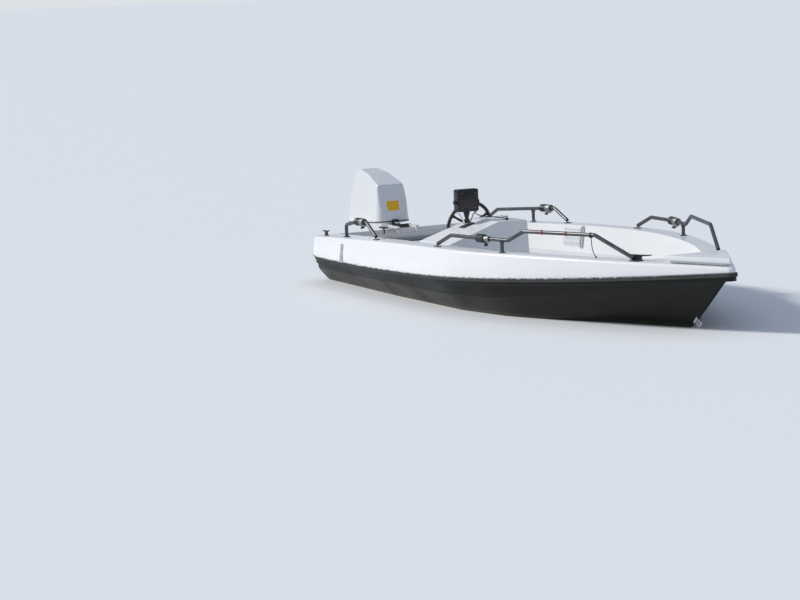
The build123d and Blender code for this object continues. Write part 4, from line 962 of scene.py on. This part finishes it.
# Horn cleats. Cast black cleats with a waisted foot on two screws and a long bar whose horns turn up at
# the tips.
# place, station, side, distance inboard, length, turn from fore and aft in degrees
CLEATS = [("quarter_s", -2.235, -1, 0.070, 0.110, 0.0), ("quarter_p", -2.110, 1, 0.066, 0.110, 0.0),
          ("bow_s", 1.455, -1, 0.104, 0.215, 30.0)]
for label, x, side, inset, length, yaw in CLEATS:
    start()
    bpy.ops.mesh.primitive_cube_add(size=1, location=(0, 0, 0.0345), scale=(length, 0.014, 0.009))
    bar = laid()
    edit()
    for k in range(1, 12):
        cut((length * (k / 12 - 0.5), 0, 0), (1, 0, 0))
    for reach, lift_of, thin_of in ((0.32, 0.0008, 0.94), (0.40, 0.0016, 0.88), (0.48, 0.0030, 0.62)):
        pick(bar, 'VERT', lambda p, n: abs(p.x) > length * reach)
        bpy.ops.transform.resize(value=(1, thin_of, thin_of), center_override=(0, 0, 0.0375))
        bpy.ops.transform.translate(value=(0, 0, lift_of))
    pick(bar, 'FACE', lambda p, n: n.z < -0.9 and abs(p.x) < length * 0.20)
    draw_out((0, 0, -0.020))
    bpy.ops.transform.resize(value=(0.85, 1.0, 1), center_override=(0, 0, 0))
    draw_out((0, 0, -0.006))
    bpy.ops.transform.resize(value=(1.35, 1.8, 1), center_override=(0, 0, 0))
    draw_out((0, 0, -0.004))
    ease(bar, 0.0026, 3, 35)
    slope = atan2(height_of(SHEER, x + 0.1) - height_of(SHEER, x), 0.1)
    seat = Matrix.Translation((x, side * edge_y(x, inset), height_of(SHEER, x))) \
        @ Matrix.Rotation(-slope, 4, 'Y') @ Matrix.Rotation(radians(yaw), 4, 'Z')
    bar.data.transform(seat)
    dress(settle("cleat_" + label, 40), "hull", "plastic_black", plastic_black,
          *(["cleats"] if label == "bow_s" else []))

# Bow cap. A thick white moulding over the stem head, its edges rounded.
cap = mesh_copy("bow_cap_cover", "bow_cap")
edit()
bpy.ops.mesh.select_all(action='SELECT')
bpy.ops.mesh.dissolve_limited(angle_limit=radians(4))
ease(cap, 0.007, 4, 38)
cap = settle("bow_cap_cover", 50)
dress(cap, "hull", "gelcoat_white", gelcoat_white, "bow_cap")

# Instrument box. A black moulded housing with a raised face and four screws in it, held in its bracket by
# a ribbed hand knob at each side.
BOX = Vector((-0.725, -0.330, 0.690))
box_shell = finish("box_shell", (0.004, 0.004, 0.005), (0.011, 0.011, 0.012), 0.3, 14.0, 0.16, 0.34,
                   grain_scale=1000.0, depth=0.00012, scuff=0.1, scuff_colour=(0.04, 0.04, 0.04))
start()
bpy.ops.mesh.primitive_cube_add(size=1, location=BOX, scale=(0.060, 0.168, 0.160))
housing = laid()
pick(housing, 'EDGE', lambda a, b: abs(a.x - b.x) > 0.03)
bpy.ops.mesh.bevel(offset=0.013, segments=4, affect='EDGES')
pick(housing, 'FACE', lambda p, n: n.x > 0.9)
bpy.ops.mesh.inset(thickness=0.011, depth=0)
draw_out((0.008, 0, 0))
bpy.ops.transform.resize(value=(1, 0.93, 0.93), center_override=BOX)
pick(housing, 'FACE', lambda p, n: n.x < -0.9)
bpy.ops.mesh.inset(thickness=0.009, depth=0)
draw_out((0.004, 0, 0))
ease(housing, 0.0025, 3, 35)
housing = dress(settle("box_housing"), "hull", "plastic_black", box_shell, "instrument_box")
start()
bpy.ops.mesh.primitive_cylinder_add(vertices=36, radius=0.015, depth=0.016, rotation=(pi / 2, 0, 0),
                                    location=BOX + Vector((0, -0.092, -0.012)))
pinch = laid()


def every_second_flat(p, n):
    """True at every second flat of the knob's side."""
    return abs(n.y) < 0.2 and int(round(atan2(p.z - BOX.z + 0.012, p.x - BOX.x) * 18 / pi)) % 2


pick(pinch, 'FACE', every_second_flat)
bpy.ops.transform.resize(value=(0.9, 1, 0.9), center_override=BOX + Vector((0, 0, -0.012)))
pick(pinch, 'FACE', lambda p, n: n.y < -0.9)
bpy.ops.mesh.inset(thickness=0.003, depth=-0.002)
pinch = dress(settle("box_knob_s"), "hull", "plastic_black", plastic_black)
pinch_port = copy_of(pinch, "box_knob_p", (0, 0.184, 0), Matrix.Rotation(pi, 4, 'Z'),
                     BOX + Vector((0, -0.092, 0)))
dress(pinch_port, "hull", "plastic_black", plastic_black)
brass = finish("brass_screw", (0.62, 0.42, 0.16), (0.30, 0.20, 0.09), 0.4, 60.0, 0.25, 0.45, metal=1.0,
               grain_scale=900.0, depth=0.0001)
box_screws = [copy_of(screw, "box_screw", BOX + Vector((0.0385, sy, sz)), Matrix.Rotation(pi / 2, 4, 'Y'))
              for sy in (-0.052, 0.052) for sz in (-0.052, 0.052)]
join(box_screws)
dress(settle("box_screws", 50), "hull", "steel_bright", brass)
bpy.data.objects.remove(post)
bpy.data.objects.remove(screw)

# Bracket of the instrument box. Two pressed steel arms spread from small feet on the console's sloping
# top to the box's underside, beside a black swivel block.
FOOT = Vector((-0.725, -0.330, 0.5260))


def grow(piece, *steps):
    """Draws the piece's top face on, step by step."""
    for step in steps:
        done()
        top = max(v.co.z for v in piece.data.vertices)
        pick(piece, 'FACE', lambda p, n: p.z > top - 0.002 and n.z > 0.3)
        draw_out(step)


for side, label in ((-1, "s"), (1, "p")):
    start()
    bpy.ops.mesh.primitive_cube_add(size=1, location=FOOT + Vector((0.004, side * 0.020, 0.0)),
                                    scale=(0.030, 0.024, 0.004))
    arm = laid()
    pick(arm, 'FACE', lambda p, n: n.z > 0.9)
    bpy.ops.mesh.inset(thickness=0.0085, depth=0)
    draw_out((0, side * 0.006, 0.008))
    grow(arm, (-0.002, side * 0.030, 0.055), (-0.001, side * 0.030, 0.020))
    ease(arm, 0.0012, 2, 30)
    dress(settle("bracket_arm_" + label), "hull", "steel_bright", steel_bright,
          *(["box_bracket"] if label == "s" else []))
start()
bpy.ops.mesh.primitive_cylinder_add(vertices=36, radius=0.017, depth=0.030,
                                    location=FOOT + Vector((0, 0, 0.018)))
swivel = laid()
pick(swivel, 'FACE', lambda p, n: n.z > 0.9)
bpy.ops.mesh.inset(thickness=0.005, depth=0)
draw_out((0, 0, 0.048))
bpy.ops.transform.resize(value=(1.5, 2.2, 1), center_override=FOOT)
pick(swivel, 'FACE', lambda p, n: n.z < -0.9)
bpy.ops.transform.resize(value=(1.35, 1.35, 1), center_override=FOOT)
ease(swivel, 0.002, 3, 35)
dress(settle("bracket_swivel"), "hull", "plastic_black", plastic_black)

# Cable gland on the console: a black nut with a ring of flats where the box's lead goes through the top.
GLAND = Vector((-0.540, -0.102, 0.5500))
start()
bpy.ops.mesh.primitive_cylinder_add(vertices=6, radius=0.0125, depth=0.008, location=(0, 0, 0.004))
gland = laid()
pick(gland, 'FACE', lambda p, n: n.z > 0.9)
bpy.ops.mesh.inset(thickness=0.003, depth=0.0015)
draw_out((0, 0, 0.005))
bpy.ops.transform.resize(value=(0.8, 0.8, 1), center_override=(0, 0, 0))
ease(gland, 0.0008, 2, 35)
lead_way = (Vector((-0.575, -0.115, 0.559)) - GLAND).to_track_quat('Z', 'Y').to_matrix().to_4x4()
gland.data.transform(Matrix.Translation(GLAND) @ lead_way)
dress(settle("lead_gland"), "hull", "plastic_black", plastic_black)

# Pull handle at the transom. A steel bar on one short stem that runs down into the well in front of the
# outboard.
start()
bpy.ops.mesh.primitive_cylinder_add(vertices=24, radius=0.0075, depth=0.095, rotation=(pi / 2, 0, 0),
                                    location=(-2.300, -0.1325, 0.352))
handle = laid()
pick(handle, 'FACE', lambda p, n: abs(n.y) > 0.9)
bpy.ops.mesh.inset(thickness=0.003, depth=0.003)
edit()
for k in (-1, 1):
    cut((0, -0.1225 + k * 0.009, 0), (0, 1, 0))
pick(handle, 'FACE', lambda p, n: n.z < -0.7 and abs(p.y + 0.1225) < 0.009)
draw_out((0, 0, -0.076))
bpy.ops.transform.resize(value=(0.9, 0.55, 0.2), center_override=(-2.300, -0.1225, 0.270))
dress(settle("pull_handle"), "hull", "steel_bright", steel_bright)

# Pad and rib on the port inner side. A thin stitched pad with rows of small studs is bonded to the
# moulding's inner wall, and a moulded rib closes its forward end; the rib's grey is painted shade of
# that forward-facing step.
def wall_point(x, z, proud):
    """A point a distance inboard of the port inner wall."""
    hits = [source.ray_cast((x, 0.30, z), (0, 1, 0)) for source in (deck, nodes["cockpit_liner"])]
    return Vector((x, min(hit[1].y for hit in hits if hit[0]) - proud, z))


PAD_X, PAD_Z = (-1.105, -0.890), (0.262, 0.400)
start()
bpy.ops.mesh.primitive_grid_add(x_subdivisions=14, y_subdivisions=10, size=1)
pad = bpy.context.object
for v in pad.data.vertices:
    across, up = v.co.x + 0.5, v.co.y + 0.5
    rim = min(across, 1 - across, up, 1 - up)
    v.co = wall_point(PAD_X[0] + across * (PAD_X[1] - PAD_X[0]), PAD_Z[0] + up * (PAD_Z[1] - PAD_Z[0]),
                      0.0015 + 0.0030 * min(1.0, rim / 0.08))
applied(pad, 'SOLIDIFY', thickness=0.0012, offset=0.0)
edit()
bpy.ops.mesh.select_all(action='SELECT')
bpy.ops.mesh.normals_make_consistent(inside=False)
dress(settle("side_pad", 60), "hull", "liner_pale", liner_pale)
studs = []
for row in range(4):
    for k in range(6):
        start()
        bpy.ops.mesh.primitive_cylinder_add(vertices=14, radius=0.0042, depth=0.0024, rotation=(pi / 2, 0, 0),
                                            location=wall_point(PAD_X[0] + 0.022 + 0.034 * k,
                                                                PAD_Z[0] + 0.020 + 0.033 * row, 0.0056))
        stud = laid()
        pick(stud, 'FACE', lambda p, n: n.y < -0.9)
        bpy.ops.mesh.inset(thickness=0.0016, depth=-0.0006)
        done()
        studs.append(stud)
join(studs)
dress(settle("side_pad_studs", 40), "hull", "pale_plate", pale_plate)
start()
bpy.ops.mesh.primitive_cube_add(size=1, location=wall_point(-0.852, 0.335, 0.0035),
                                scale=(0.040, 0.007, 0.160))
rib = laid()
pick(rib, 'EDGE', lambda a, b: abs(a.y - b.y) > 0.004)
bpy.ops.mesh.bevel(offset=0.017, segments=6, affect='EDGES')
for step in range(1, 8):
    cut((0, 0, 0.255 + 0.020 * step), (0, 0, 1))
pick(rib, 'FACE', lambda p, n: n.y < -0.9)
bpy.ops.mesh.inset(thickness=0.004, depth=0.0)
draw_out((0, 0.003, 0))
done()
rib_y = wall_point(-0.852, 0.335, 0.0).y
for v in rib.data.vertices:
    v.co.y += wall_point(v.co.x, v.co.z, 0.0).y - rib_y
# the rib's grey finish is painted shade of the forward-facing step
dress(settle("side_rib"), "hull", "pale_plate", pale_plate)
